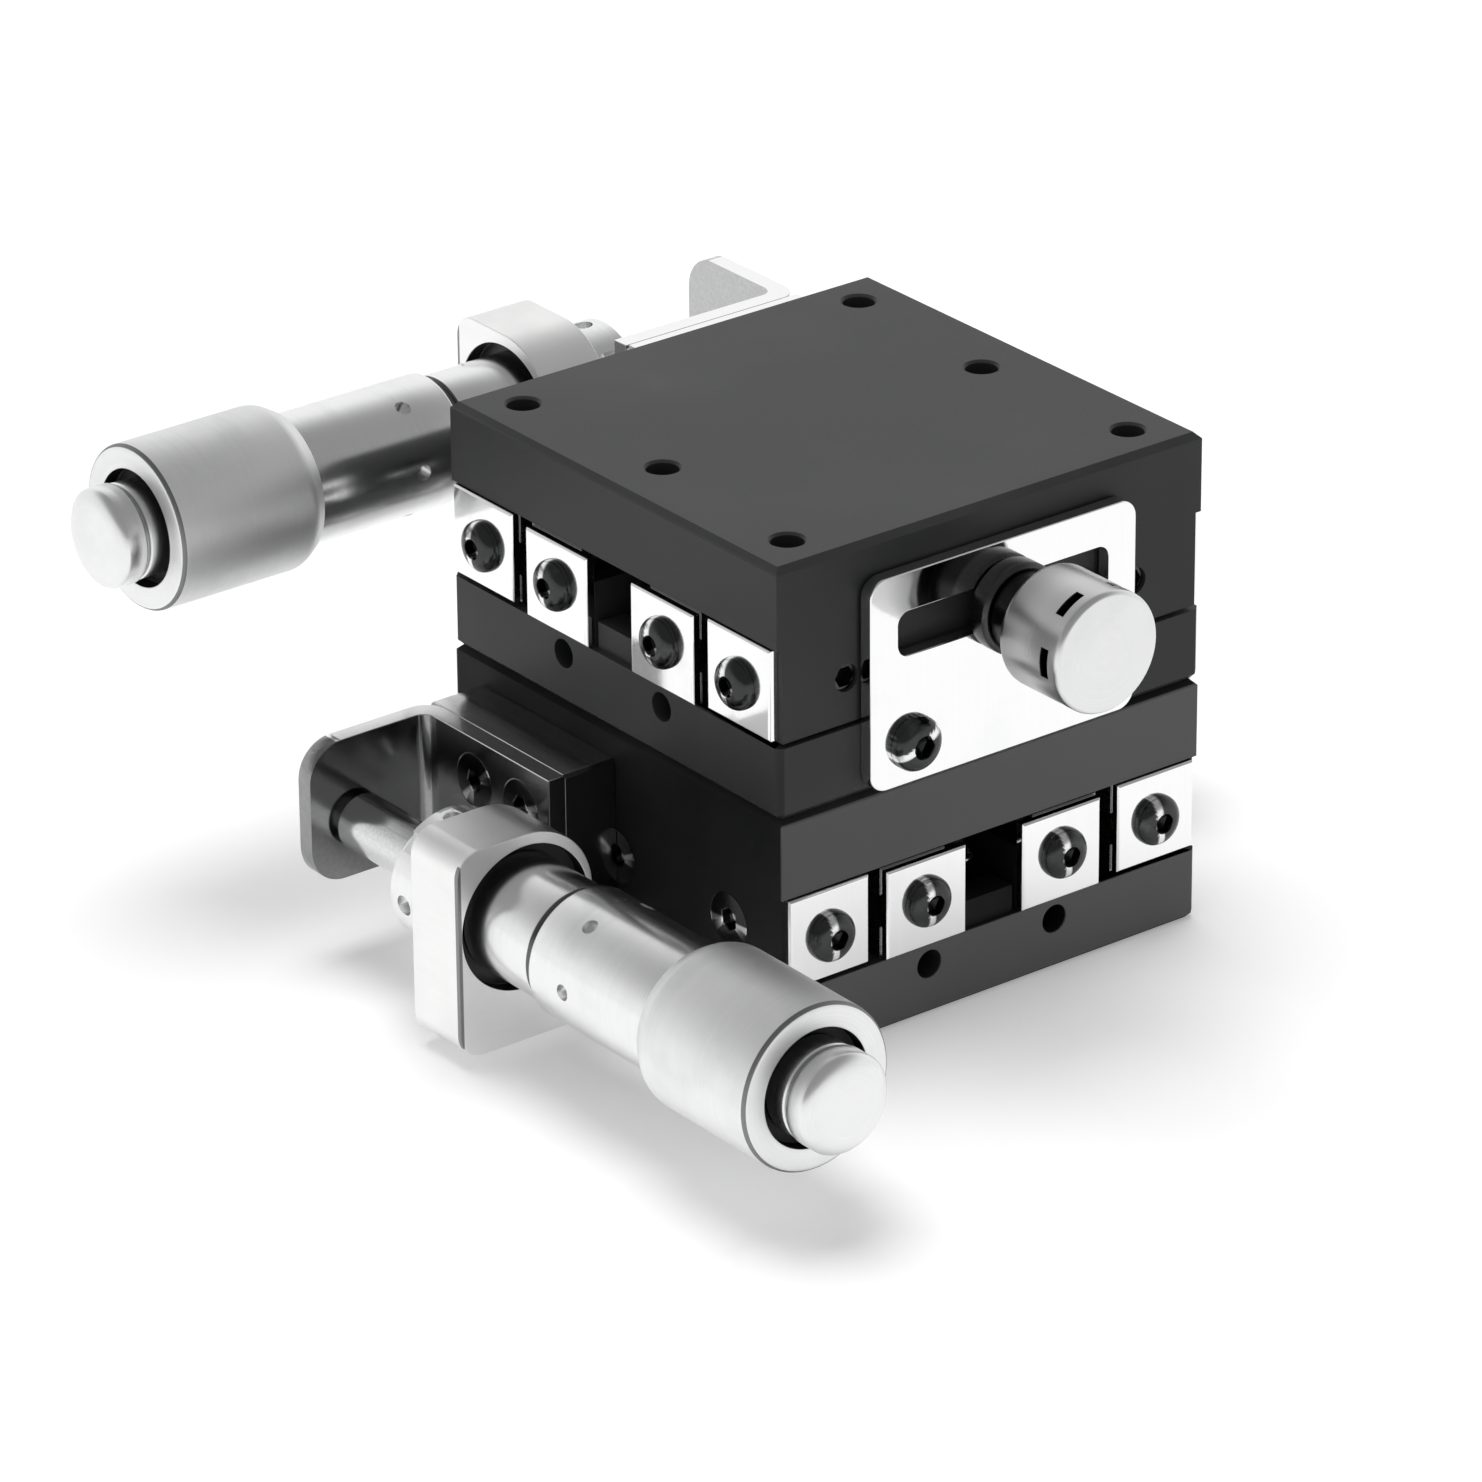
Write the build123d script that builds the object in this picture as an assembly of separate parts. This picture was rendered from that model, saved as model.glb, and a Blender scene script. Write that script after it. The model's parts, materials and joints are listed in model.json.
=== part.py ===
from build123d import *
import os
from math import asin, cos, sin

# Two-axis linear translation stage with crossed-roller guides and side micrometers.
#
# Two identical single-axis stages are stacked and crossed. One stage is modelled here:
# it travels along X, its micrometer lies on the -Y side and its travel clamp on the +Y side.
# The lower stage stands as modelled; the upper one is turned -90 degrees about Z and sits on it.
# Millimetres, +Z up, origin at the middle of the lower base's underside.

# ---------------------------------------------------------------- driving dimensions
# body of one stage
face = 40.0                 # side of the square base plate and table
stage_height = 20.0         # height of one stage
base_plate = 5.8            # thickness of the base plate
rail_zone = 7.8             # height between base plate and table plate
side_relief = 0.2           # table sides stand back from the base sides
skirt_gap = 0.3             # gap between table skirts and base plate
edge_chamfer = 0.5          # broken edges of the black bodies
end_recess = 0.5            # rail ends stand back from the plate ends

# travel
travel = 5.0                # each way from the middle
running_gap = 0.3           # gap between bodies that pass each other

# rails and rollers
rail_height = 7.4
inner_rail_in = 4.2         # inner rail, near face from the centre line
inner_rail_out = 10.3       # inner rail, grooved face
outer_rail_in = 11.8        # outer rail, grooved face
outer_rail_out = 17.4       # outer rail, back face
shoulder_in = 2.7           # locating shoulders of the base, inner faces
shoulder_height = 5.2       # shoulders above the base plate
roller_d = 2.96
roller_length = 2.7
roller_play = 0.02          # running clearance of a roller in its groove, each side
roller_pitch = 3.9
roller_count = 7
cage_thick = 0.8
cage_height = 6.4
cage_end = 1.9              # cage beyond the centre of its last roller
pocket_play = 0.08

# end plates over the rails
end_plate = 0.8             # thickness
end_plate_edge = 0.1        # end plates stand back from the rail outline
table_plate_over = 1.9      # the table's end plates reach this far beyond its rails

# screws: thread is modelled at its core, so it fits the tapped hole
thread_fit = 0.05
through_fit = 0.3
m2_thread, m2_head, m2_head_h, m2_key = 1.6, 3.8, 2.0, 1.5
m25_thread, m25_head, m25_head_h, m25_key = 2.05, 4.5, 2.5, 2.0
m3_thread, m3_head, m3_head_h, m3_key = 2.9, 5.5, 3.0, 2.5
button_head, button_h, button_key = 4.3, 1.1, 1.6
sunk_head, sunk_key = 4.3, 1.6
sunk_hole_depth = 3.0       # from the face, through the piece that the head sits in
end_screw_length = 4.5
rail_screw_x = 11.0
rail_screw_bite = 3.6       # length of an inner rail screw inside its rail
rail_tap_depth = 2.0        # side holes in the outer rail
side_screw_x = 13.6         # outer rail screws and preload screws from the middle

# mounting holes
mount_pitch = 32.0
mount_tap_d = 2.5           # M3 tap drill
joined_hole_d = 3.0         # lower table's corner holes, filled by the joining screws' threads
mount_through_d = 3.4       # M3 clearance
mount_sink_d = 6.0
mount_sink = 3.1
middle_hole_x = 15.1
tap_chamfer = 0.2
end_tap_y = 6.0             # two tapped holes in the base's +X end face
end_tap_z = 4.2
end_tap_d = 2.3
end_tap_depth = 5.5

# travel clamp
clamp_width = 25.0
clamp_bottom = 0.4
clamp_top = 17.3
clamp_thick = 1.2
clamp_corner = 1.5
slot_length = 19.8
slot_height = 3.5
slot_corner = 1.0
knob_z = 12.45
knob_thread = 3.0
knob_d = 9.5
knob_length = 6.9
knob_neck_d = 6.2
knob_neck = 2.6
knob_groove = 0.35
knob_groove_width = 0.5
knob_groove_back = 1.2      # groove behind the end face
knob_rim = 0.45
collar_d = 7.2
collar_length = 2.0
collar_play = 0.1           # at each end of the loose collar
clamp_screw_x = 8.5
clamp_screw_z = 3.6
clamp_screw_length = 5.2

# micrometer
mic_y = -32.5               # axis
mic_z = 10.8
spindle_d = 4.5
spindle_fit = 0.05
spindle_tip_d = 3.2
spindle_tip = 0.6
spindle_neck_d = 4.0        # where the thimble's web sits
screw_d = 6.6               # screw part of the spindle
stem_d = 8.0
stem_back = 5.5             # stem behind the holder
nut_d = 10.6
nut_length = 4.2
nut_slot = 1.6
nut_slot_depth = 0.7
nut_slot_length = 2.8
sleeve_d = 9.5
sleeve_length = 7.2
barrel_d = 10.4
barrel_end = 27.1           # barrel end from the holder's front face
key_hole_d = 1.0
key_hole_depth = 0.6
key_hole_count = 6
key_hole_x = 11.4           # from the holder's front face
bore_step = 8.7             # wide bore for the screw part, from the holder's front face
thimble_d = 13.0
thimble_start = 21.0        # from the holder's front face
thimble_length = 13.4
thimble_fit = 0.1
thimble_bevel = 1.2
thimble_bevel_drop = 0.75
thimble_web = 0.8
thimble_recess_d = 9.2
thimble_recess = 1.2
turned_edge = 0.4           # broken edges of turned parts
ratchet_d = 8.2
ratchet_neck_d = 6.2
ratchet_neck = 2.0
ratchet_cap = 2.9
ratchet_dome = 0.7
ratchet_pin_d = 2.4
ratchet_pin = 5.0
ratchet_gap = 0.2

# micrometer holder
holder_x = 5.8              # thickness along the axis, from x = 0
holder_out = 6.1            # holder beyond the axis, outwards
holder_top = 17.5
holder_bottom = 0.8
holder_corner = 2.0
holder_gap = 0.4            # between holder and anvil bracket
holder_crown = 6.0          # round of the inner top corner
foot_top = 5.2
foot_thick = 3.5
foot_side = 5.0             # foot beyond each side of the holder
foot_screw_z = 3.0
foot_screw_length = 4.5

# anvil bracket on the table
spacer_thick = 4.7
anvil_thick = 1.5
anvil_face_x = -15.4        # face that the spindle pushes
anvil_top = 17.7
anvil_bottom = 6.2
anvil_out = 4.3             # flange beyond the micrometer axis
anvil_bend = 1.0            # inner bend radius
anvil_corner = 3.0
anvil_screw_x = (-9.4, -3.6)
anvil_screw_z = 14.2
tip_gap = 0.02

# return spring in the channel between the shoulders
spring_d = 3.6
spring_wire = 0.45
spring_pin_d = 1.5
spring_table_x = -11.0
spring_base_x = 15.5
spring_pin_reach = 1.6      # pins beyond the spring's axis
loop_play = 0.28
lip_length = 2.5
lip_top = 8.0
lip_half = 2.3

# ---------------------------------------------------------------- derived sizes
half = face / 2
table_side = half - side_relief
rail_end = half - end_recess
table_under = base_plate + rail_zone
guide_z = base_plate + rail_zone / 2
groove_y = (inner_rail_out + outer_rail_in) / 2
groove_side = roller_d + 2 * roller_play
inner_screw_y = (shoulder_in + inner_rail_out) / 2
table_plate_out = outer_rail_out + table_plate_over
outer_screw_y = (outer_rail_in + table_plate_out) / 2
barrel_stop = holder_x + barrel_end
thimble_x = holder_x + thimble_start
thimble_end = thimble_x + thimble_length
recess_floor = thimble_end - thimble_recess
web_inner = recess_floor - thimble_web
leg_outer = -(table_side + spacer_thick + anvil_thick)
holder_inner = leg_outer - holder_gap
clamp_face = half + clamp_thick
collar_start = clamp_face + collar_play
neck_start = collar_start + collar_length + collar_play
knob_start = neck_start + knob_neck
knob_end = knob_start + knob_length


# ---------------------------------------------------------------- helpers
def both(values):
    """Each value and its opposite."""
    return [sign * value for value in values for sign in (-1, 1)]


def box(x0, x1, y0, y1, z0, z1):
    """Block between two corners."""
    middle = Pos((x0 + x1) / 2, (y0 + y1) / 2, (z0 + z1) / 2)
    return middle * Box(abs(x1 - x0), abs(y1 - y0), abs(z1 - z0))


def rod(diameter, start, end, turn=(0, 0, 0)):
    """Cylinder along its own Z between two heights, then turned."""
    return Rot(*turn) * Pos(0, 0, (start + end) / 2) * Cylinder(diameter / 2, abs(end - start))


ALONG_X = (0, 90, 0)        # own +Z points along +X
ALONG_Y = (-90, 0, 0)       # own +Z points along +Y
AGAINST_X = (0, -90, 0)
AGAINST_Y = (90, 0, 0)
DOWN = (180, 0, 0)


def socket(key, depth):
    """Hexagon socket below z = 0."""
    return Pos(0, 0, -depth) * extrude(RegularPolygon(key / 2, 6, major_radius=False), depth)


def cap_screw(head_d, head_h, key, thread_d, length):
    """Socket cap screw seated on z = 0, head upwards."""
    head = Pos(0, 0, head_h / 2) * Cylinder(head_d / 2, head_h)
    head = chamfer(head.edges().group_by(Axis.Z)[-1], head_h * 0.08)
    screw = head + rod(thread_d, -length, 0)
    return screw - Pos(0, 0, head_h) * socket(key, head_h * 0.55)


def button_screw(length):
    """Low round-headed socket screw seated on z = 0."""
    head = Pos(0, 0, button_h / 2) * Cylinder(button_head / 2, button_h)
    head = fillet(head.edges().group_by(Axis.Z)[-1], button_h * 0.6)
    screw = head + rod(m2_thread, -length, 0)
    return screw - Pos(0, 0, button_h) * socket(button_key, button_h * 0.75)


def sunk_screw(thread_d, length):
    """Countersunk socket screw with its face at z = 0."""
    depth = (sunk_head - thread_d) / 2
    cone = Pos(0, 0, -depth / 2) * Cone(thread_d / 2, sunk_head / 2, depth)
    return cone + rod(thread_d, -length, -depth / 2) - socket(sunk_key, depth * 0.8)


def sunk_hole(thread_d, length, play):
    """Room for a countersunk screw, from its face down."""
    depth = (sunk_head - thread_d) / 2
    cone = Pos(0, 0, -depth / 2) * Cone(thread_d / 2 + play, sunk_head / 2 + play, depth)
    return cone + rod(thread_d + 2 * play, -length, 0) + rod(sunk_head + 2 * play, 0, 0.5)


def set_screw(thread_d, key, length):
    """Headless screw with its face at z = 0."""
    return rod(thread_d, -length, 0) - socket(key, length * 0.4)


def turned(points):
    """Solid of revolution about X from (x, radius) corners, both ends on the axis."""
    return revolve(make_face(Polyline(*points, close=True)), Axis.X, 360)


def break_edges(body, axis_side, size):
    """Chamfer the outline edges of one flat side of a body."""
    return chamfer(body.faces().sort_by(axis_side)[-1].outer_wire().edges(), size)


# ---------------------------------------------------------------- body of one stage
def mount_places():
    """Corners of the mounting square."""
    return [(x, y) for x in both([mount_pitch / 2]) for y in both([mount_pitch / 2])]


def make_base():
    plate = box(-half, half, -half, half, 0, base_plate)
    plate = chamfer(plate.edges().filter_by(Axis.Z), edge_chamfer)
    plate = break_edges(plate, -Axis.Z, edge_chamfer)
    for side in (-1, 1):
        plate += box(-rail_end, rail_end, side * shoulder_in, side * inner_rail_in,
                     base_plate, base_plate + shoulder_height)
    plate += box(rail_end - lip_length, rail_end, -lip_half, lip_half, base_plate - 1, lip_top)
    plate += Pos(spring_base_x, 0, 0) * rod(spring_pin_d, base_plate - 1, guide_z + spring_pin_reach)
    for x, y in mount_places():
        plate -= Pos(x, y, 0) * rod(mount_through_d, -1, base_plate + 1)
        plate -= Pos(x, y, 0) * rod(mount_sink_d, base_plate - mount_sink, base_plate + 1)
    for x in both([rail_screw_x]):
        for y in both([inner_screw_y]):
            plate -= Pos(x, y, 0) * rod(m25_thread + through_fit, -1, base_plate + 1)
            plate -= Pos(x, y, 0) * rod(m25_head + through_fit, -1, m25_head_h + 0.1)
    for y in both([end_tap_y]):
        plate -= Pos(0, y, end_tap_z) * rod(end_tap_d, half - end_tap_depth, half + 1, ALONG_X)
    for x in both([clamp_screw_x]):
        hole = rod(m25_thread + 2 * thread_fit, half - clamp_screw_length, half + 1, ALONG_Y)
        plate -= Pos(x, 0, clamp_screw_z) * hole
    for x in foot_screw_places():
        hole = rod(m2_thread + 2 * thread_fit, half - foot_screw_length, half + 1, AGAINST_Y)
        plate -= Pos(x, 0, foot_screw_z) * hole
    return plate


def make_table(corner_hole_d):
    plate = box(-half, half, -table_side, table_side, table_under, stage_height)
    for side in (-1, 1):
        plate += box(-rail_end, rail_end, side * outer_rail_out, side * table_side,
                     base_plate + skirt_gap, table_under)
    plate = break_edges(plate, Axis.Z, edge_chamfer)
    holes = [(x, y, corner_hole_d) for x, y in mount_places()]
    holes += [(x, 0, mount_tap_d) for x in both([middle_hole_x])]
    for x, y, hole_d in holes:
        plate -= Pos(x, y, 0) * rod(hole_d, table_under - 1, stage_height + 1)
        rim = Cone(hole_d / 2, hole_d / 2 + tap_chamfer, tap_chamfer)
        plate -= Pos(x, y, stage_height - tap_chamfer / 2) * rim
    for x in side_screw_places():
        hole = Rot(*AGAINST_Y) * sunk_hole(m2_thread, sunk_hole_depth, thread_fit)
        plate -= Pos(x, -table_side, guide_z) * hole
        drill = rod(m25_thread + 2 * thread_fit, outer_rail_out - 0.5, half, ALONG_Y)
        plate -= Pos(x, 0, guide_z) * drill
    plate -= Pos(0, 0, knob_z) * rod(knob_thread + 2 * thread_fit, outer_rail_out, half, ALONG_Y)
    for x in anvil_screw_x:
        drill = rod(m2_thread + 2 * thread_fit, outer_rail_out, half, AGAINST_Y)
        plate -= Pos(x, 0, anvil_screw_z) * drill
    plate -= Pos(spring_table_x, 0, 0) * rod(spring_pin_d + 2 * thread_fit, table_under - 1,
                                             table_under + 3)
    return plate


def side_screw_places():
    return [-side_screw_x, 0, side_screw_x]


def groove(side):
    """Square channel on its corner that the crossed rollers run in."""
    channel = Rot(45, 0, 0) * Box(face * 2, groove_side, groove_side)
    return Pos(0, side * groove_y, guide_z) * channel


def make_inner_rails():
    rails = []
    for side in (-1, 1):
        rail = box(-rail_end, rail_end, side * inner_rail_in, side * inner_rail_out,
                   base_plate, base_plate + rail_height)
        rail -= groove(side)
        for x in both([rail_screw_x]):
            hole = rod(m25_thread + 2 * thread_fit, base_plate - 1, base_plate + rail_screw_bite + 0.2)
            rail -= Pos(x, side * inner_screw_y, 0) * hole
        for turn in (ALONG_X, AGAINST_X):
            hole = rod(m2_thread + 2 * thread_fit, rail_end - end_screw_length, half, turn)
            rail -= Pos(0, side * inner_screw_y, guide_z) * hole
        rails.append(rail)
    return rails


def make_outer_rails():
    rails = []
    for side in (-1, 1):
        rail = box(-rail_end, rail_end, side * outer_rail_in, side * outer_rail_out,
                   table_under - rail_height, table_under)
        rail -= groove(side)
        for turn in (ALONG_X, AGAINST_X):
            hole = rod(m2_thread + 2 * thread_fit, rail_end - end_screw_length, half, turn)
            rail -= Pos(0, side * outer_screw_y, guide_z) * hole
        if side < 0:
            for x in side_screw_places():
                hole = rod(m2_thread + 2 * thread_fit, outer_rail_out - rail_tap_depth, half, AGAINST_Y)
                rail -= Pos(x, 0, guide_z) * hole
        rails.append(rail)
    return rails


def make_inner_rail_screws():
    length = base_plate - m25_head_h + rail_screw_bite
    screw = Rot(*DOWN) * cap_screw(m25_head, m25_head_h, m25_key, m25_thread, length)
    return [Pos(x, y, m25_head_h) * screw for x in both([rail_screw_x]) for y in both([inner_screw_y])]


def make_outer_rail_screws():
    length = table_side - outer_rail_out + 1.8
    screw = Rot(*AGAINST_Y) * sunk_screw(m2_thread, length)
    return [Pos(x, -table_side, guide_z) * screw for x in side_screw_places()]


def make_preload_screws():
    screw = Rot(*ALONG_Y) * set_screw(m25_thread, m2_key, table_side - outer_rail_out - 0.3)
    return [Pos(x, table_side - 0.3, guide_z) * screw for x in side_screw_places()]


# ---------------------------------------------------------------- crossed rollers
def roller_places():
    start = -(roller_count - 1) / 2 * roller_pitch
    return [start + index * roller_pitch for index in range(roller_count)]


def make_rollers():
    """Rollers whose axes lean 45 degrees, each one crossed with the next."""
    rollers = []
    for side in (-1, 1):
        for index, x in enumerate(roller_places()):
            lean = 45 if index % 2 == 0 else -45
            roller = Rot(lean, 0, 0) * Cylinder(roller_d / 2, roller_length)
            rollers.append(Pos(x, side * groove_y, guide_z) * roller)
    return rollers


def make_cages():
    """Strips that keep the rollers apart."""
    cages = []
    reach = (roller_count - 1) / 2 * roller_pitch + roller_d / 2 + cage_end
    diagonal = (roller_d + roller_length) / 2 ** 0.5
    for side in (-1, 1):
        cage = Pos(0, side * groove_y, guide_z) * Box(2 * reach, cage_thick, cage_height)
        cage = chamfer(cage.edges().filter_by(Axis.Y), 0.6)
        for x in roller_places():
            pocket = Box(roller_d + 2 * pocket_play, 2 * cage_thick, diagonal + 2 * pocket_play)
            cage -= Pos(x, side * groove_y, guide_z) * pocket
        cages.append(cage)
    return cages


# ---------------------------------------------------------------- end plates
def end_plates(y0, y1, z0, z1, screw_y):
    plates = []
    for turn in (0, 180):
        for side in (-1, 1):
            plate = box(rail_end, rail_end + end_plate, side * y0, side * y1, z0, z1)
            plate = chamfer(plate.faces().sort_by(Axis.X)[-1].edges(), 0.15)
            hole = rod(m2_thread + through_fit, rail_end - 1, half + 2, ALONG_X)
            plate -= Pos(0, side * screw_y, guide_z) * hole
            plates.append(Rot(0, 0, turn) * plate)
    return plates


def end_screws(screw_y):
    screw = Pos(rail_end + end_plate, 0, guide_z) * Rot(*ALONG_X) * button_screw(
        end_plate + end_screw_length - 0.3)
    return [Rot(0, 0, turn) * Pos(0, side * screw_y, 0) * screw for turn in (0, 180) for side in (-1, 1)]


def make_base_end_plates():
    return end_plates(shoulder_in, inner_rail_out - end_plate_edge, base_plate + end_plate_edge,
                      base_plate + rail_height - end_plate_edge, inner_screw_y)


def make_table_end_plates():
    return end_plates(outer_rail_in + end_plate_edge, table_plate_out,
                      table_under - rail_height + end_plate_edge, table_under - end_plate_edge,
                      outer_screw_y)


# ---------------------------------------------------------------- travel clamp
def make_clamp_plate():
    middle = (clamp_bottom + clamp_top) / 2
    outline = RectangleRounded(clamp_width, clamp_top - clamp_bottom, clamp_corner)
    outline -= Pos(0, knob_z - middle) * RectangleRounded(slot_length, slot_height, slot_corner)
    for x in both([clamp_screw_x]):
        outline -= Pos(x, clamp_screw_z - middle) * Circle((m25_thread + through_fit) / 2)
    plate = extrude(Plane.XZ * outline, -clamp_thick)
    return Pos(0, half, middle) * plate


def make_clamp_plate_screws():
    screw = Rot(*ALONG_Y) * cap_screw(m25_head, m25_head_h, m25_key, m25_thread,
                                      clamp_thick + clamp_screw_length - 0.3)
    return [Pos(x, clamp_face, clamp_screw_z) * screw for x in both([clamp_screw_x])]


def make_clamp_collar():
    ring = rod(collar_d, collar_start, collar_start + collar_length, ALONG_Y)
    ring = chamfer(ring.edges(), 0.3)
    return Pos(0, 0, knob_z) * (ring - rod(knob_thread + through_fit, half, knob_start, ALONG_Y))


def make_clamp_knob():
    """Turned knob with its neck and screw, all one piece."""
    groove_start = knob_end - knob_groove_back - knob_groove_width
    head = rod(knob_d, knob_start, knob_end, ALONG_Y)
    head = chamfer(head.edges().group_by(Axis.Y)[-1], knob_rim)
    head = chamfer(head.edges().group_by(Axis.Y)[0], knob_rim)
    ring = rod(knob_d + 1, groove_start, groove_start + knob_groove_width, ALONG_Y)
    ring -= rod(knob_d - 2 * knob_groove, groove_start - 1, knob_end, ALONG_Y)
    neck = rod(knob_neck_d, neck_start, knob_start, ALONG_Y)
    shank = rod(knob_thread, outer_rail_out + 0.2, neck_start, ALONG_Y)
    return Pos(0, 0, knob_z) * (head - ring + neck + shank)


# ---------------------------------------------------------------- micrometer
def on_mic_axis(piece):
    """Place a piece turned about X on the micrometer's axis."""
    return Pos(0, mic_y, mic_z) * piece


def make_sleeve():
    """Stem, sleeve and barrel with the spindle's bore and a ring of key holes."""
    stem, sleeve, barrel = stem_d / 2, sleeve_d / 2, barrel_d / 2
    bore = spindle_d / 2 + spindle_fit
    wide = screw_d / 2 + running_gap
    step = holder_x + sleeve_length
    wide_from = holder_x + bore_step
    body = turned([(-stem_back, bore), (-stem_back, stem - turned_edge), (-stem_back + turned_edge, stem),
                   (holder_x, stem), (holder_x, sleeve), (step - 0.3, sleeve), (step, barrel - 0.15),
                   (step + 0.15, barrel), (barrel_stop, barrel), (barrel_stop, wide),
                   (wide_from, wide), (wide_from, bore)])
    for index in range(key_hole_count):
        hole = Pos(holder_x + key_hole_x, 0, 0) * rod(key_hole_d, barrel - key_hole_depth, barrel + 1)
        body -= Rot(360 / key_hole_count * (index + 0.5), 0, 0) * hole
    return on_mic_axis(body)


def make_lock_nut():
    outer, inner = nut_d / 2, stem_d / 2 + thread_fit
    ring = turned([(-nut_length, inner), (-nut_length, outer - turned_edge),
                   (-nut_length + turned_edge, outer), (-turned_edge, outer),
                   (0, outer - turned_edge), (0, inner)])
    for angle in range(4):
        slot = Pos(0, 0, outer) * Box(2 * nut_slot_length, nut_slot, 2 * nut_slot_depth)
        ring -= Rot(45 + 90 * angle, 0, 0) * Pos(-nut_length, 0, 0) * slot
    return on_mic_axis(ring)


def make_spindle():
    tip, body, screw, neck = spindle_tip_d / 2, spindle_d / 2, screw_d / 2, spindle_neck_d / 2
    start = anvil_face_x + tip_gap
    screw_from = holder_x + bore_step + travel + running_gap
    pin = ratchet_pin_d / 2 + spindle_fit
    pin_floor = recess_floor - ratchet_pin - 0.3
    shape = turned([(start, 0), (start, tip), (start + spindle_tip, tip), (start + spindle_tip, body),
                    (screw_from, body), (screw_from, screw), (web_inner, screw),
                    (web_inner, neck), (recess_floor, neck), (recess_floor, pin),
                    (pin_floor, pin), (pin_floor, 0)])
    return on_mic_axis(shape)


def make_thimble():
    outer, inner = thimble_d / 2, barrel_d / 2 + thimble_fit
    hole = spindle_neck_d / 2 + thread_fit
    recess = thimble_recess_d / 2
    shape = turned([(thimble_x, inner), (thimble_x, outer - thimble_bevel_drop),
                    (thimble_x + thimble_bevel, outer), (thimble_end - turned_edge, outer),
                    (thimble_end, outer - turned_edge), (thimble_end, recess), (recess_floor, recess),
                    (recess_floor, hole), (web_inner, hole), (web_inner, inner)])
    return on_mic_axis(shape)


def make_ratchet():
    """Friction thimble: a domed cap on a neck, with its pin in the spindle."""
    neck, cap, pin = ratchet_neck_d / 2, ratchet_d / 2, ratchet_pin_d / 2
    start = recess_floor + ratchet_gap
    cap_from = start + ratchet_neck
    rim = cap_from + ratchet_cap - ratchet_dome
    outline = Polyline((recess_floor - ratchet_pin, 0), (recess_floor - ratchet_pin, pin), (start, pin),
                       (start, neck), (cap_from, neck), (cap_from, cap - 0.3), (cap_from + 0.3, cap),
                       (rim, cap))
    dome_radius = (cap ** 2 + ratchet_dome ** 2) / (2 * ratchet_dome)
    half_turn = asin(cap / dome_radius) / 2
    centre = rim + ratchet_dome - dome_radius
    middle = (centre + dome_radius * cos(half_turn), dome_radius * sin(half_turn))
    dome = ThreePointArc((rim, cap), middle, (rim + ratchet_dome, 0))
    axis_line = Line((rim + ratchet_dome, 0), (recess_floor - ratchet_pin, 0))
    shape = revolve(make_face(outline + dome + axis_line), Axis.X, 360)
    return on_mic_axis(shape)


# ---------------------------------------------------------------- micrometer holder
def foot_screw_places():
    return [-foot_side / 2, holder_x + foot_side / 2]


def make_holder():
    """Upright plate that grips the stem, with a foot screwed to the side of the base."""
    outer = mic_y - holder_out
    width = holder_inner - outer
    height = holder_top - holder_bottom
    plate = box(0, holder_x, outer, holder_inner, holder_bottom, holder_top)
    top = plate.edges().filter_by(Axis.X).group_by(Axis.Z)[-1].sort_by(Axis.Y)
    plate = fillet(top[-1], min(holder_crown, width * 0.49, height * 0.49))
    plate = fillet(plate.edges().filter_by(Axis.X).sort_by(Axis.Y)[:2], holder_corner)
    neck = box(0, holder_x, holder_inner - 1, -half, holder_bottom, foot_top)
    foot = box(-foot_side, holder_x + foot_side, -half - foot_thick, -half, holder_bottom, foot_top)
    foot = chamfer(foot.edges().filter_by(Axis.Y), 0.5)
    body = plate + neck + foot
    body -= on_mic_axis(rod(stem_d + 2 * thread_fit, -1, holder_x + 1, ALONG_X))
    for x in foot_screw_places():
        hole = rod(m2_thread + through_fit, half - 1, half + foot_thick + 1, AGAINST_Y)
        body -= Pos(x, 0, foot_screw_z) * hole
    return body


def make_holder_screws():
    screw = Rot(*AGAINST_Y) * cap_screw(m2_head, m2_head_h, m2_key, m2_thread,
                                        foot_thick + foot_screw_length - 0.3)
    return [Pos(x, -half - foot_thick, foot_screw_z) * screw for x in foot_screw_places()]


# ---------------------------------------------------------------- anvil bracket
def make_anvil_spacer():
    spacer = box(anvil_face_x - anvil_thick, 0, -table_side - spacer_thick, -table_side,
                 anvil_bottom, anvil_top)
    spacer = chamfer(spacer.edges().filter_by(Axis.Y), 0.3)
    for x in anvil_screw_x:
        hole = rod(m2_thread + through_fit, table_side - 1, table_side + spacer_thick + 1, AGAINST_Y)
        spacer -= Pos(x, 0, anvil_screw_z) * hole
    return spacer


def make_anvil_bracket():
    """Bent plate: a leg along the table's side and a flange that the spindle pushes."""
    back_x = anvil_face_x - anvil_thick
    flange_y = mic_y - anvil_out
    leg_inner = leg_outer + anvil_thick
    leg = box(back_x, 0, leg_outer, leg_inner, anvil_bottom, anvil_top)
    flange = box(back_x, anvil_face_x, flange_y, leg_inner, anvil_bottom, anvil_top)
    tips = flange.edges().filter_by(Axis.X).group_by(Axis.Y)[0]
    flange = fillet(tips, anvil_corner)
    bracket = leg + flange
    upright = bracket.edges().filter_by(Axis.Z)
    outer_bend = upright.sort_by_distance((back_x, leg_inner, (anvil_bottom + anvil_top) / 2))[0]
    bracket = fillet(outer_bend, anvil_bend + anvil_thick * 0.6)
    upright = bracket.edges().filter_by(Axis.Z)
    inner_bend = upright.sort_by_distance((anvil_face_x, leg_outer, (anvil_bottom + anvil_top) / 2))[0]
    bracket = fillet(inner_bend, anvil_bend)
    for x in anvil_screw_x:
        hole = Rot(*AGAINST_Y) * sunk_hole(m2_thread, sunk_hole_depth, thread_fit)
        bracket -= Pos(x, leg_outer, anvil_screw_z) * hole
    return bracket


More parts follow.
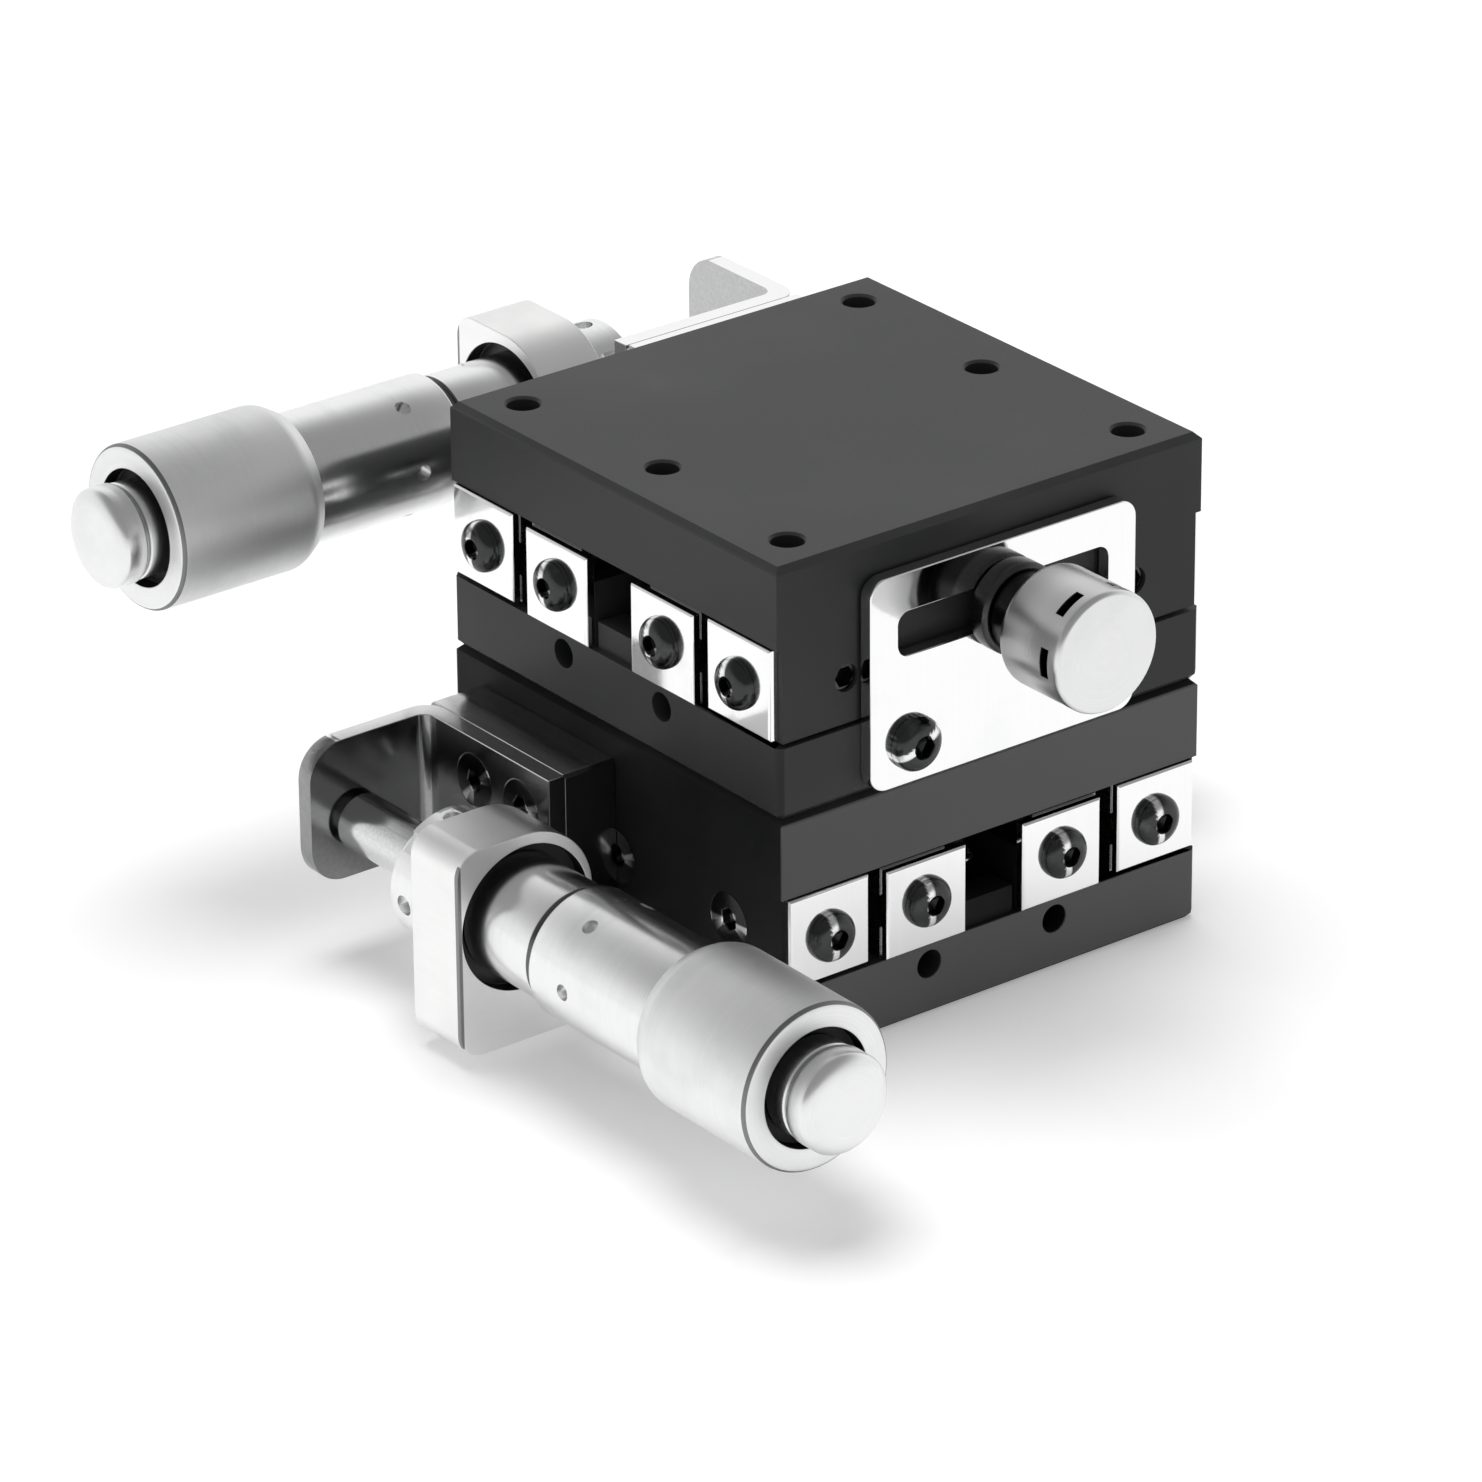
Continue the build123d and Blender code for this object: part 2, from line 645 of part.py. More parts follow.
def make_anvil_screws():
    length = anvil_thick + spacer_thick + (table_side - outer_rail_out) - 0.2
    screw = Rot(*AGAINST_Y) * sunk_screw(m2_thread, length)
    return [Pos(x, leg_outer, anvil_screw_z) * screw for x in anvil_screw_x]


# ---------------------------------------------------------------- return spring
def make_return_spring():
    """Close-wound tension spring with a loop round the pin at each end."""
    loop = (spring_pin_d + spring_wire) / 2 + loop_play
    start = spring_table_x + loop - spring_wire * 0.3
    end = spring_base_x - loop + spring_wire * 0.3
    coil = rod(spring_d, start, end, ALONG_X)
    coil -= rod(spring_d - 2 * spring_wire, start + spring_wire, end - spring_wire, ALONG_X)
    for x in (spring_table_x, spring_base_x):
        coil += Pos(x, 0, 0) * Torus(loop, spring_wire / 2)
    return Pos(0, 0, guide_z) * coil


def make_spring_pin():
    return Pos(spring_table_x, 0, 0) * rod(spring_pin_d, guide_z - spring_pin_reach, table_under + 2.8)


# ---------------------------------------------------------------- assembly
STAGE_PIECES = {
    "base": make_base,
    "inner_rails": make_inner_rails,
    "outer_rails": make_outer_rails,
    "inner_rail_screws": make_inner_rail_screws,
    "outer_rail_screws": make_outer_rail_screws,
    "preload_screws": make_preload_screws,
    "roller_cages": make_cages,
    "rollers": make_rollers,
    "base_end_plates": make_base_end_plates,
    "table_end_plates": make_table_end_plates,
    "base_end_screws": lambda: end_screws(inner_screw_y),
    "table_end_screws": lambda: end_screws(outer_screw_y),
    "clamp_plate": make_clamp_plate,
    "clamp_plate_screws": make_clamp_plate_screws,
    "clamp_collar": make_clamp_collar,
    "clamp_knob": make_clamp_knob,
    "micrometer_sleeve": make_sleeve,
    "lock_nut": make_lock_nut,
    "spindle": make_spindle,
    "thimble": make_thimble,
    "ratchet_knob": make_ratchet,
    "micrometer_holder": make_holder,
    "holder_screws": make_holder_screws,
    "anvil_spacer": make_anvil_spacer,
    "anvil_bracket": make_anvil_bracket,
    "anvil_screws": make_anvil_screws,
    "return_spring": make_return_spring,
    "spring_pin": make_spring_pin,
}

STAGE_PLACES = {
    "lower": Pos(0, 0, 0),
    "upper": Pos(0, 0, stage_height) * Rot(0, 0, -90),
}


def make_joining_screws():
    """Screws that hold the upper base on the lower table."""
    seat = stage_height + base_plate - mount_sink
    screw = cap_screw(m3_head, m3_head_h, m3_key, m3_thread, seat - table_under - 0.4)
    return [Pos(x, y, seat) * screw for x, y in mount_places()]


def write(name, pieces):
    """Write one node: a single solid or a group of separate solids."""
    solids = pieces if isinstance(pieces, list) else [pieces]
    shape = Compound(children=[solid for piece in solids for solid in piece.solids()])
    export_step(shape if len(shape.solids()) > 1 else shape.solids()[0], f"parts/{name}.step")


def main():
    os.makedirs("parts", exist_ok=True)
    for piece_name, make in STAGE_PIECES.items():
        made = make()
        made = made if isinstance(made, list) else [made]
        for stage_name, place in STAGE_PLACES.items():
            write(f"{stage_name}_{piece_name}", [place * piece for piece in made])
    write("lower_table", STAGE_PLACES["lower"] * make_table(joined_hole_d))
    write("upper_table", STAGE_PLACES["upper"] * make_table(mount_tap_d))
    write("stage_joining_screws", make_joining_screws())


main()
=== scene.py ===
import json
from math import cos, pi, radians, sin

import bmesh
import bpy
from mathutils import Matrix, Vector


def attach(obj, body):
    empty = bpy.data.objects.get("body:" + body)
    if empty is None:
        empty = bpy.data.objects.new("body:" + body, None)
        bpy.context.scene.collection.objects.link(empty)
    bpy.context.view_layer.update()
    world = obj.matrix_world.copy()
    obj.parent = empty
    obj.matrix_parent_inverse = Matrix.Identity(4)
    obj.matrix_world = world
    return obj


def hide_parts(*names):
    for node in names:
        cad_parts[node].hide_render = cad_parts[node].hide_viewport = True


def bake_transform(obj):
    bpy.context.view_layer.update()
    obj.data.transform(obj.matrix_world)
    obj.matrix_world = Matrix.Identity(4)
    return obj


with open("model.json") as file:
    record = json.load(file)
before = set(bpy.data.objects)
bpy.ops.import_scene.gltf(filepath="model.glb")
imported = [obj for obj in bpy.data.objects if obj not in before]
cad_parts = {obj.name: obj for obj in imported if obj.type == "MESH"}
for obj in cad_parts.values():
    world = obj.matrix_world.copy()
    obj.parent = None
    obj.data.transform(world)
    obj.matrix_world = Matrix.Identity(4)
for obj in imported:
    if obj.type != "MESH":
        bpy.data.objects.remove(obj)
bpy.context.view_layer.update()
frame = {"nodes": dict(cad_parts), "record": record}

MM = 0.001
MERGE = 1e-4                # seams closer than this are one, in millimetres
CAD_MERGE = 2e-6            # the same in the CAD meshes, in metres
EDGE_ANGLE = 32             # degrees; a sharper edge is bevelled
FLAT_ANGLE = 0.6            # degrees; faces that turn less are one face
TURNED_FACES = 144          # round a turned part
SCREW_FACES = 96            # round a screw head
ROUND_STEPS = 4             # in an eased corner of an outline
DOME_STEPS = 12
SPIN_SEED = 7               # of the screws' chance turns

# -------------------------------------------------- sizes in millimetres
# One stage travels along X, with its micrometer on the -Y side and its clamp on the +Y side.
HALF = 20.0
STAGE_HEIGHT = 20.0
TABLE_SIDE = 19.8
GUIDE_Z = 9.7
END_PLATE_FACE = 20.3
INNER_SCREW_Y = 6.5
OUTER_SCREW_Y = 15.55
RAIL_SCREW_X = 13.6
FOOT_FACE = -23.5
FOOT_SCREW_X, FOOT_SCREW_Z = (-2.5, 8.3), 3.0
LEG_OUTER = -26.0
LEG_TOP = 17.7
LEG_SCREW_X, LEG_SCREW_Z = (-9.4, -3.6), 14.2
SPRING_BASE_X, SPRING_TABLE_X = 15.5, -11.0

# the micrometer: its axis, then places along the travel and radii
MIC_Y, MIC_Z = -32.5, 10.8
STEM_BACK, STEM_R, STEM_BORE_R = -5.5, 4.0, 2.3
NUT_HOLE_X, NUT_HOLE_D, NUT_R = -2.2, 1.6, 5.3
HOLDER_X = 5.8
HOLDER_EDGE = 5.78          # from the axis to the broken outer edge
COUNTERBORE_X, COUNTERBORE_R = 4.5, 5.75
SLEEVE_R = 4.75
GROOVE_START, GROOVE_END = 12.2, 13.1
KEY_HOLE_X, KEY_HOLE_D = 17.2, 1.25
BARREL_END, BARREL_R, BARREL_BORE_R = 32.9, 5.2, 3.6
THIMBLE_START, THIMBLE_END, THIMBLE_R = 26.8, 40.2, 6.5
WEB_INNER, WEB_OUTER, WEB_BORE_R = 38.2, 39.0, 2.05
RECESS_R = 4.6
PIN_START, PIN_END, PIN_R = 34.0, 39.2, 1.2
NECK_END, NECK_R = 41.1, 3.7
CAP_END, CAP_R, CAP_DOME = 43.1, 3.9, 0.95

# the clamp: its knob's places lie along +Y
CLAMP_FACE = 21.2
CLAMP_SCREW_X, CLAMP_SCREW_Z = 8.5, 3.6
KNOB_Z = 12.45
KNOB_THREAD_START, KNOB_THREAD_R = 17.6, 1.5
KNOB_NECK_START, KNOB_NECK_R = 23.4, 3.1
KNOB_START, KNOB_END, KNOB_R = 26.0, 32.9, 4.75
NOTCH_Y, NOTCH = 31.35, (0.85, 2.3, 0.8)

STAGES = {
    "lower": Matrix.Identity(4),
    "upper": Matrix.Translation((0, 0, STAGE_HEIGHT)) @ Matrix.Rotation(-pi / 2, 4, "Z"),
}
BODIES = {
    "lower": {"base": "lower_base", "table": "lower_table", "thimble": "lower_thimble",
              "ratchet": "lower_ratchet", "knob": "lower_clamp_knob"},
    "upper": {"base": "lower_table", "table": "upper_table", "thimble": "upper_thimble",
              "ratchet": "upper_ratchet", "knob": "upper_clamp_knob"},
}


# -------------------------------------------------- node trees written as sums
class Signal:
    """A socket that takes part in Python sums; each sum adds its Math node."""

    def __init__(self, tree, socket):
        self.tree, self.socket = tree, socket

    def math(self, operation, *others):
        return self.tree.node("ShaderNodeMath", {"operation": operation}, [self, *others])

    def __add__(self, other): return self.math("ADD", other)
    def __radd__(self, other): return self.math("ADD", other)
    def __mul__(self, other): return self.math("MULTIPLY", other)
    def __sub__(self, other): return self.math("SUBTRACT", other)
    def __rsub__(self, other): return (self * -1.0) + other
    def __truediv__(self, other): return self.math("DIVIDE", other)
    def __mod__(self, other): return self.math("MODULO", other)
    def sine(self): return self.math("SINE")
    def cosine(self): return self.math("COSINE")
    def root(self): return self.math("SQRT")
    def size(self): return self.math("ABSOLUTE")
    def over(self, edge): return self.math("GREATER_THAN", edge)
    def at_most(self, other): return self.math("MINIMUM", other)
    def at_least(self, other): return self.math("MAXIMUM", other)

    def __rtruediv__(self, other):
        return self.tree.node("ShaderNodeMath", {"operation": "DIVIDE"}, [other, self])

    def ramp(self, low, high, to_low=0.0, to_high=1.0):
        """This value mapped from low..high onto to_low..to_high, and held there outside."""
        return self.tree.node("ShaderNodeMapRange", {"interpolation_type": "SMOOTHSTEP"},
                              {"Value": self, "From Min": low, "From Max": high,
                               "To Min": to_low, "To Max": to_high})


class Tree:
    """Adds nodes to a material's or a modifier's node tree."""

    def __init__(self, node_tree):
        self.node_tree = node_tree

    def add(self, kind, settings=None, inputs=()):
        made = self.node_tree.nodes.new(kind)
        for name, value in (settings or {}).items():
            setattr(made, name, value)
        pairs = inputs.items() if isinstance(inputs, dict) else enumerate(inputs)
        for key, value in pairs:
            self.feed(made.inputs[key], value)
        return made

    def feed(self, socket, value):
        if isinstance(value, Signal):
            self.node_tree.links.new(value.socket, socket)
        else:
            socket.default_value = value

    def out(self, made, key=0):
        return Signal(self, made.outputs[key])

    def node(self, kind, settings=None, inputs=(), key=0):
        return self.out(self.add(kind, settings, inputs), key)


class Finish(Tree):
    """One material: a Principled shader whose inputs are worked out from Object coordinates."""

    def __init__(self, name, metallic=0.0, rough=0.5, **fixed):
        self.material = bpy.data.materials.new(name)
        self.material.use_nodes = True
        super().__init__(self.material.node_tree)
        self.node_tree.nodes.clear()
        self.shader = self.add("ShaderNodeBsdfPrincipled", None,
                               {"Metallic": metallic, "Roughness": rough})
        for key, value in fixed.items():
            self.shader.inputs[key.replace("_", " ")].default_value = value
        output = self.add("ShaderNodeOutputMaterial")
        self.node_tree.links.new(self.shader.outputs[0], output.inputs[0])
        self.place = self.node("ShaderNodeTexCoord", key="Object")

    def noise(self, scale, detail=4.0, rough=0.55, at=None, stretch=None):
        """Noise from 0 to 1 with this many cells to the metre, pulled out by stretch."""
        at = at or self.place
        if stretch:
            at = self.node("ShaderNodeMapping", None, {"Vector": at, "Scale": stretch})
        return self.node("ShaderNodeTexNoise", {"noise_dimensions": "3D"},
                         {"Vector": at, "Scale": scale, "Detail": detail, "Roughness": rough})

    def blend(self, share, first, second):
        """A colour between two colours."""
        mix = self.add("ShaderNodeMix", {"data_type": "RGBA"}, {"Factor": share})
        self.feed(mix.inputs[6], first)
        self.feed(mix.inputs[7], second)
        return self.out(mix, 2)

    def bump(self, height, strength, distance):
        return self.node("ShaderNodeBump", None,
                         {"Strength": strength, "Distance": distance, "Height": height})

    def set(self, **values):
        for key, value in values.items():
            self.feed(self.shader.inputs[key.replace("_", " ")], value)
        return self.material


def grey(value, tint=0.0):
    """A neutral colour, a little blue where tint is above 0."""
    return (value * (1 - tint), value, value * (1 + tint), 1.0)


def axes_of(finish, centre, along):
    """(distance along, radius, angle) about a line through centre, in metres and radians."""
    moved = finish.node("ShaderNodeVectorMath", {"operation": "SUBTRACT"}, [finish.place, centre])
    split = finish.add("ShaderNodeSeparateXYZ", None, [moved])
    x, y, z = (finish.out(split, index) for index in range(3))
    ahead, side = (x, y) if along == "X" else (y, x)
    angle = finish.node("ShaderNodeMath", {"operation": "ARCTAN2"}, [z, side])
    return ahead, (side * side + z * z).root(), angle


def between(value, low, high):
    """1 where a length in metres lies between two given in millimetres."""
    return value.over(low * MM) * (1.0 - value.over(high * MM))


def within(radius, limit):
    """1 where a radius in metres is below a limit in millimetres."""
    return 1.0 - radius.over(limit * MM)


# -------------------------------------------------- finishes
def black_anodised(name, along, ends, sides, gloss):
    """Fine-blasted and black anodised aluminium: soft grain, faint clouds and rubbed spots.

    Painted light and shade: the end faces, across the travel, have the colour ends, and the rest
    has sides, lighter and darker as light falls on them."""
    finish = Finish(name, rough=0.42, Specular_IOR_Level=gloss)
    grain = finish.noise(5200, 3)
    clouds = finish.noise(38, 3)
    rubbed = finish.noise(140, 5).ramp(0.62, 0.78)
    ahead = axes_of(finish, (0, 0, 0), along)[0].size()
    # painted light and shade: the end faces lighter, the sides darker
    painted_end_light = ahead.ramp((HALF - 0.18) * MM, (HALF - 0.06) * MM)
    colour = finish.blend(painted_end_light, grey(sides, 0.02), grey(ends, 0.01))
    dusty = clouds.ramp(0.35, 0.68) * 0.2 + rubbed * 0.08
    colour = finish.blend(dusty, colour, grey(0.1, 0.01))
    return finish.set(Base_Color=colour, Roughness=0.34 + grain * 0.12 + clouds * 0.06,
                      Normal=finish.bump(grain, 0.22, 0.00003))


def polished_plate():
    """Polished stainless sheet with hair lines and a few dull smudges."""
    finish = Finish("polished_plate", metallic=1.0, rough=0.06)
    lines = finish.noise(3800, 2, stretch=(1, 1, 0.03))
    smudge = finish.noise(260, 4).ramp(0.5, 0.75)
    colour = finish.blend(lines * 0.5 + smudge * 0.3, grey(0.94), grey(0.88, 0.005))
    return finish.set(Base_Color=colour, Roughness=0.045 + lines * 0.05 + smudge * 0.08,
                      Normal=finish.bump(lines, 0.05, 0.00001))


def ring_marks(finish, centre, along, pitch):
    """Fine turning marks: noise that changes along a turned part's axis and radius only."""
    ahead, radius, angle = axes_of(finish, centre, along)
    swept = finish.node("ShaderNodeCombineXYZ", None,
                        [ahead / (pitch * MM), radius / (pitch * MM), angle * 0.4])
    return finish.noise(1.0, 3, 0.6, at=swept)


def turned_metal(name, centre, along, colour, rough, pitch, depth, marks):
    """Bright or satin metal off the lathe, with its ring marks and slight tarnish.

    marks(finish, ahead, radius, shade) returns the colour with the part's painted shade."""
    finish = Finish(name, metallic=1.0, rough=rough)
    rings = ring_marks(finish, centre, along, pitch)
    tarnish = finish.noise(210, 4).ramp(0.42, 0.8)
    shade = finish.blend(rings * 0.6 + tarnish * 0.4,
                         grey(colour * 1.06), grey(colour * 0.88, 0.01))
    ahead, radius, _ = axes_of(finish, centre, along)
    return finish.set(Base_Color=marks(finish, ahead.size(), radius, shade),
                      Roughness=rough * 0.8 + rings * (rough * 0.35) + tarnish * 0.05,
                      Normal=finish.bump(rings, depth, 0.00002))


def thimble_painted_shade(finish, ahead, radius, shade):
    """Painted shade in the recess in the end, and a painted dark reflection in a line behind the
    rim.
    """
    # painted shade in the recess
    recess = ahead.over((WEB_INNER - 0.3) * MM) * within(radius, RECESS_R + 0.03)
    # painted dark reflection in a line behind the rim
    rim = ahead.over((THIMBLE_END - 0.35) * MM) * radius.over((THIMBLE_R - 0.22) * MM)
    return finish.blend(recess, finish.blend(rim * 0.8, shade, grey(0.1)), grey(0.025))


def ratchet_painted_shade(finish, ahead, radius, shade):
    """Bright neck, and painted shade in the seat under the cap."""
    # painted shade in the seat under the cap
    seat = between(ahead, NECK_END + 0.1, NECK_END + 0.4) * within(radius, NECK_R + 0.04)
    return finish.blend(seat * 0.7, shade, grey(0.2))


def sleeve_painted_shade(finish, ahead, radius, shade):
    """Painted shade in the groove between the sleeve and the barrel."""
    # painted shade in the groove
    groove = between(ahead, GROOVE_START - 0.02, GROOVE_END - 0.05)
    return finish.blend(groove * within(radius, BARREL_R - 0.15), shade, grey(0.14))


def knob_painted_shade(finish, ahead, radius, shade):
    """Painted shade: the turned side darker than the bright end face and darkest towards the neck,
    and the neck and the notches near black.
    """
    # painted shade: the side darkest towards the neck
    side = finish.blend(ahead.ramp((KNOB_START + 0.2) * MM, (KNOB_START + 4.0) * MM),
                        grey(0.36), grey(0.62))
    # painted shade: the notch floors and the neck near black
    notch = ahead.over((KNOB_START + 1.0) * MM) * within(radius, KNOB_R - 0.15)
    neck = (1.0 - ahead.over((KNOB_START + 0.05) * MM)).at_least(notch)
    side = finish.blend(neck, side, grey(0.03))
    return finish.blend(ahead.over((KNOB_END - 0.3) * MM), side, shade)


def satin_nickel(name, centre, along):
    """Satin nickel plate over brushed metal, with painted shade in the bore and along the broken
    outer edge.
    """
    finish = Finish(name, metallic=1.0, rough=0.3)
    ahead, radius, angle = axes_of(finish, centre, along)
    ahead = ahead.size()
    # painted shade in the counterbore and the bore
    bore = between(ahead, HOLDER_X - 2.8, HOLDER_X - 0.08) * within(radius, COUNTERBORE_R + 0.07)
    outwards = radius * angle.cosine() * -1.0
    # painted shade along the broken outer edge of the front face
    edge = ahead.over((HOLDER_X - 0.35) * MM) * outwards.over(HOLDER_EDGE * MM)
    brushed = finish.noise(3000, 3, stretch=(0.06, 0.06, 1))
    clouds = finish.noise(180, 4).ramp(0.4, 0.75)
    colour = finish.blend(brushed * 0.5 + clouds * 0.4, grey(0.93, -0.004), grey(0.85, 0.0))
    colour = finish.blend(bore.at_least(edge * 0.75), colour, grey(0.045))
    return finish.set(Base_Color=colour, Roughness=0.3 + brushed * 0.12 + clouds * 0.05,
                      Normal=finish.bump(brushed, 0.03, 0.00001))


def black_screw_steel():
    """Black oxide steel, oiled, with a painted highlight on the socket and over the top of the
    head, as the screw tree's attribute gives it.
    """
    finish = Finish("black_screw_steel", metallic=1.0, rough=0.24)
    grain = finish.noise(2600, 4)
    rubbed = finish.noise(600, 5).ramp(0.55, 0.8)
    # painted highlight: the screw tree's attribute, 1 on the socket and the top of the head
    painted_highlight = finish.node("ShaderNodeAttribute", {"attribute_name": "painted_highlight"}, key="Fac")
    colour = finish.blend(rubbed * 0.3 + grain * 0.1, grey(0.05, 0.02), grey(0.16, 0.01))
    colour = finish.blend(painted_highlight, colour, finish.blend(rubbed, grey(0.85), grey(0.7, 0.01)))
    return finish.set(Base_Color=colour, Roughness=0.14 + grain * 0.1,
                      Normal=finish.bump(grain, 0.08, 0.00001))


def ground_steel():
    """Hardened rail steel with its grinding lines along both travels."""
    finish = Finish("ground_steel", metallic=1.0, rough=0.22, Specular_Tint=(0.15, 0.15, 0.15, 1.0))
    lines = finish.noise(2800, 3, stretch=(0.05, 0.05, 1))
    spots = finish.noise(300, 3).ramp(0.5, 0.8)
    # painted shade: the rail steel is kept dark, as the gap between the plates is in shade
    colour = finish.blend(lines * 0.6 + spots * 0.3, grey(0.3), grey(0.2, 0.01))
    return finish.set(Base_Color=colour, Roughness=0.2 + lines * 0.18,
                      Normal=finish.bump(lines, 0.12, 0.00002))


def plain_steel(name, colour, rough, cells, painted_highlight_height=None):
    """Small steel parts, with a painted highlight above an optional height in metres, bright as a
    lit top face.
    """
    finish = Finish(name, metallic=1.0, rough=rough)
    grain = finish.noise(cells, 4)
    shade = finish.blend(grain.ramp(0.3, 0.7), grey(colour), grey(colour * 0.9, 0.01))
    # painted highlight on the top face, above the given height
    if painted_highlight_height:
        height = finish.out(finish.add("ShaderNodeSeparateXYZ", None, [finish.place]), 2)
        shade = finish.blend(height.over(painted_highlight_height), shade, grey(0.92))
    return finish.set(Base_Color=shade, Roughness=rough * 0.7 + grain * (rough * 0.6),
                      Normal=finish.bump(grain, 0.02, 0.00001))


def cage_brass():
    """Stamped brass strip, dark brown, darkened further as painted shade of the gap it runs in."""
    finish = Finish("cage_brass", metallic=1.0, rough=0.3)
    grain = finish.noise(1500, 4, stretch=(0.3, 0.3, 1))
    colour = finish.blend(grain, (0.3, 0.23, 0.11, 1), (0.2, 0.15, 0.07, 1))
    return finish.set(Base_Color=colour, Roughness=0.22 + grain * 0.2,
                      Normal=finish.bump(grain, 0.1, 0.00002))


MIC_AXIS = {stage: place @ Vector((0, MIC_Y, MIC_Z)) * MM for stage, place in STAGES.items()}
KNOB_AXIS = {stage: place @ Vector((0, 0, KNOB_Z)) * MM for stage, place in STAGES.items()}
MIC_ALONG = {"lower": "X", "upper": "Y"}
KNOB_ALONG = {"lower": "Y", "upper": "X"}
# heights above which the brackets get a painted highlight
LOWER_PAINTED_HIGHLIGHT = (LEG_TOP - 0.04) * MM
UPPER_PAINTED_HIGHLIGHT = LOWER_PAINTED_HIGHLIGHT + STAGE_HEIGHT * MM

FINISHES = {
    "polished_plate": polished_plate(),
    "black_screws": black_screw_steel(),
    "ground_steel": ground_steel(),
    "hardened_steel": plain_steel("hardened_steel", 0.74, 0.16, 4200),
    "spring_steel": plain_steel("spring_steel", 0.62, 0.25, 2400),
    "cage_brass": cage_brass(),
    "dark_collar": plain_steel("dark_collar", 0.07, 0.3, 2400),
    # painted shade: the lower bracket's copy darker than the upper one, copying dark reflections
    "lower_bracket": plain_steel("lower_bracket", 0.3, 0.16, 3000, LOWER_PAINTED_HIGHLIGHT),
    "upper_bracket": plain_steel("upper_bracket", 0.5, 0.16, 3000, UPPER_PAINTED_HIGHLIGHT),
    # painted light and shade: each stage's copy has its own end and side colours, set by how light
    # falls on it
    "lower_black_anodised": black_anodised("lower_black_anodised", "X", 0.15, 0.008, 0.06),
    "upper_black_anodised": black_anodised("upper_black_anodised", "Y", 0.036, 0.028, 0.25),
}
# slot: colour, roughness, pitch of the ring marks in millimetres, their depth, the part's painted
# shade
TURNED_FINISHES = {
    "satin_chrome": (0.88, 0.5, 0.09, 0.05, thimble_painted_shade),
    "ratchet_chrome": (0.84, 0.3, 0.06, 0.02, ratchet_painted_shade),
    "polished_chrome": (0.86, 0.22, 0.12, 0.02, sleeve_painted_shade),
    "bright_turned": (0.78, 0.3, 0.10, 0.03, knob_painted_shade),
}
for stage in STAGES:
    mic, knob = tuple(MIC_AXIS[stage]), tuple(KNOB_AXIS[stage])
    name = f"{stage}_satin_nickel"
    FINISHES[name] = satin_nickel(name, mic, MIC_ALONG[stage])
    for slot, look in TURNED_FINISHES.items():
        name = f"{stage}_{slot}"
        centre, along = (knob, KNOB_ALONG) if slot == "bright_turned" else (mic, MIC_ALONG)
        FINISHES[name] = turned_metal(name, centre, along[stage], *look)
OWN_FINISH = {
    "ratchet_knob": "ratchet_chrome", "clamp_collar": "dark_collar",
    "anvil_bracket": "bracket", "anvil_spacer": "bracket",
}

SLOT_OF = {row["node"]: row["material_slot"] for row in frame["record"]["subparts"]}


def finish_for(node):
    """The finish of a CAD node: its own stage's one where the pattern runs round an axis."""
    stage, kind = node.split("_", 1)
    slot = OWN_FINISH.get(kind, SLOT_OF[node])
    return FINISHES.get(slot) or FINISHES[f"{stage}_{slot}"]


# -------------------------------------------------- meshes
def in_place(mesh, stage):
    """Millimetres of one stage to metres of the whole object."""
    mesh.transform(Matrix.Scale(MM, 4) @ STAGES[stage])


def smoothed(mesh, angle):
    """Smooth shading that keeps edges sharper than the angle."""
    for face in mesh.polygons:
        face.use_smooth = True
    mesh.set_sharp_from_angle(angle=radians(angle))


def with_outward_faces(mesh):
    """Seams closed and faces turned outwards, in a mesh still in millimetres."""
    shape = bmesh.new()
    shape.from_mesh(mesh)
    bmesh.ops.remove_doubles(shape, verts=shape.verts, dist=MERGE)
    bmesh.ops.recalc_face_normals(shape, faces=shape.faces)
    shape.to_mesh(mesh)
    shape.free()


def linked(name, data):
    """A new object in the scene."""
    made = bpy.data.objects.new(name, data)
    bpy.context.scene.collection.objects.link(made)
    return made


def dress(made, node):
    """Gives an object the finish of a CAD node."""
    made.data.materials.clear()
    made.data.materials.append(finish_for(node))


def mesh_of(shape, name):
    """The mesh of a finished bmesh."""
    mesh = bpy.data.meshes.new(name)
    shape.to_mesh(mesh)
    shape.free()
    return mesh


def piece(name, mesh, body, node):
    """A finished mesh that rides on a body and stands for a CAD node."""
    made = linked(name, mesh)
    dress(made, node)
    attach(made, body)
    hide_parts(node)


def applied(made):
    """The object's mesh with its modifiers worked in, as a plain mesh."""
    graph = bpy.context.evaluated_depsgraph_get()
    mesh = bpy.data.meshes.new_from_object(made.evaluated_get(graph))
    made.modifiers.clear()
    made.data = mesh
    return mesh


def eased(node, body, width, cutter_mesh=None):
    """A CAD node with its edges broken a little, as deburred metal has them, after any cut."""
    source = bmesh.new()
    source.from_mesh(frame["nodes"][node].data)
    bmesh.ops.remove_doubles(source, verts=source.verts, dist=CAD_MERGE)
    bmesh.ops.dissolve_limit(source, angle_limit=radians(FLAT_ANGLE), verts=source.verts,
                             edges=source.edges, delimit={"NORMAL"})
    mesh = mesh_of(source, f"{node}_eased")
    made = linked(f"{node}_eased", mesh)
    cutter = with_cut(made, cutter_mesh) if cutter_mesh else None
    bevel = made.modifiers.new("edges", "BEVEL")
    bevel.width, bevel.segments = width * MM, 2
    bevel.limit_method, bevel.angle_limit = "ANGLE", radians(EDGE_ANGLE)
    bevel.miter_outer = "MITER_ARC"
    bevel.use_clamp_overlap = True
    for face in mesh.polygons:
        face.use_smooth = True
    weigh = made.modifiers.new("normals", "WEIGHTED_NORMAL")
    weigh.mode, weigh.weight, weigh.keep_sharp = "FACE_AREA", 100, True
    mesh = applied(made)
    bpy.data.objects.remove(made)
    if cutter:
        bpy.data.objects.remove(cutter)
    piece(f"{node}_eased", mesh, body, node)


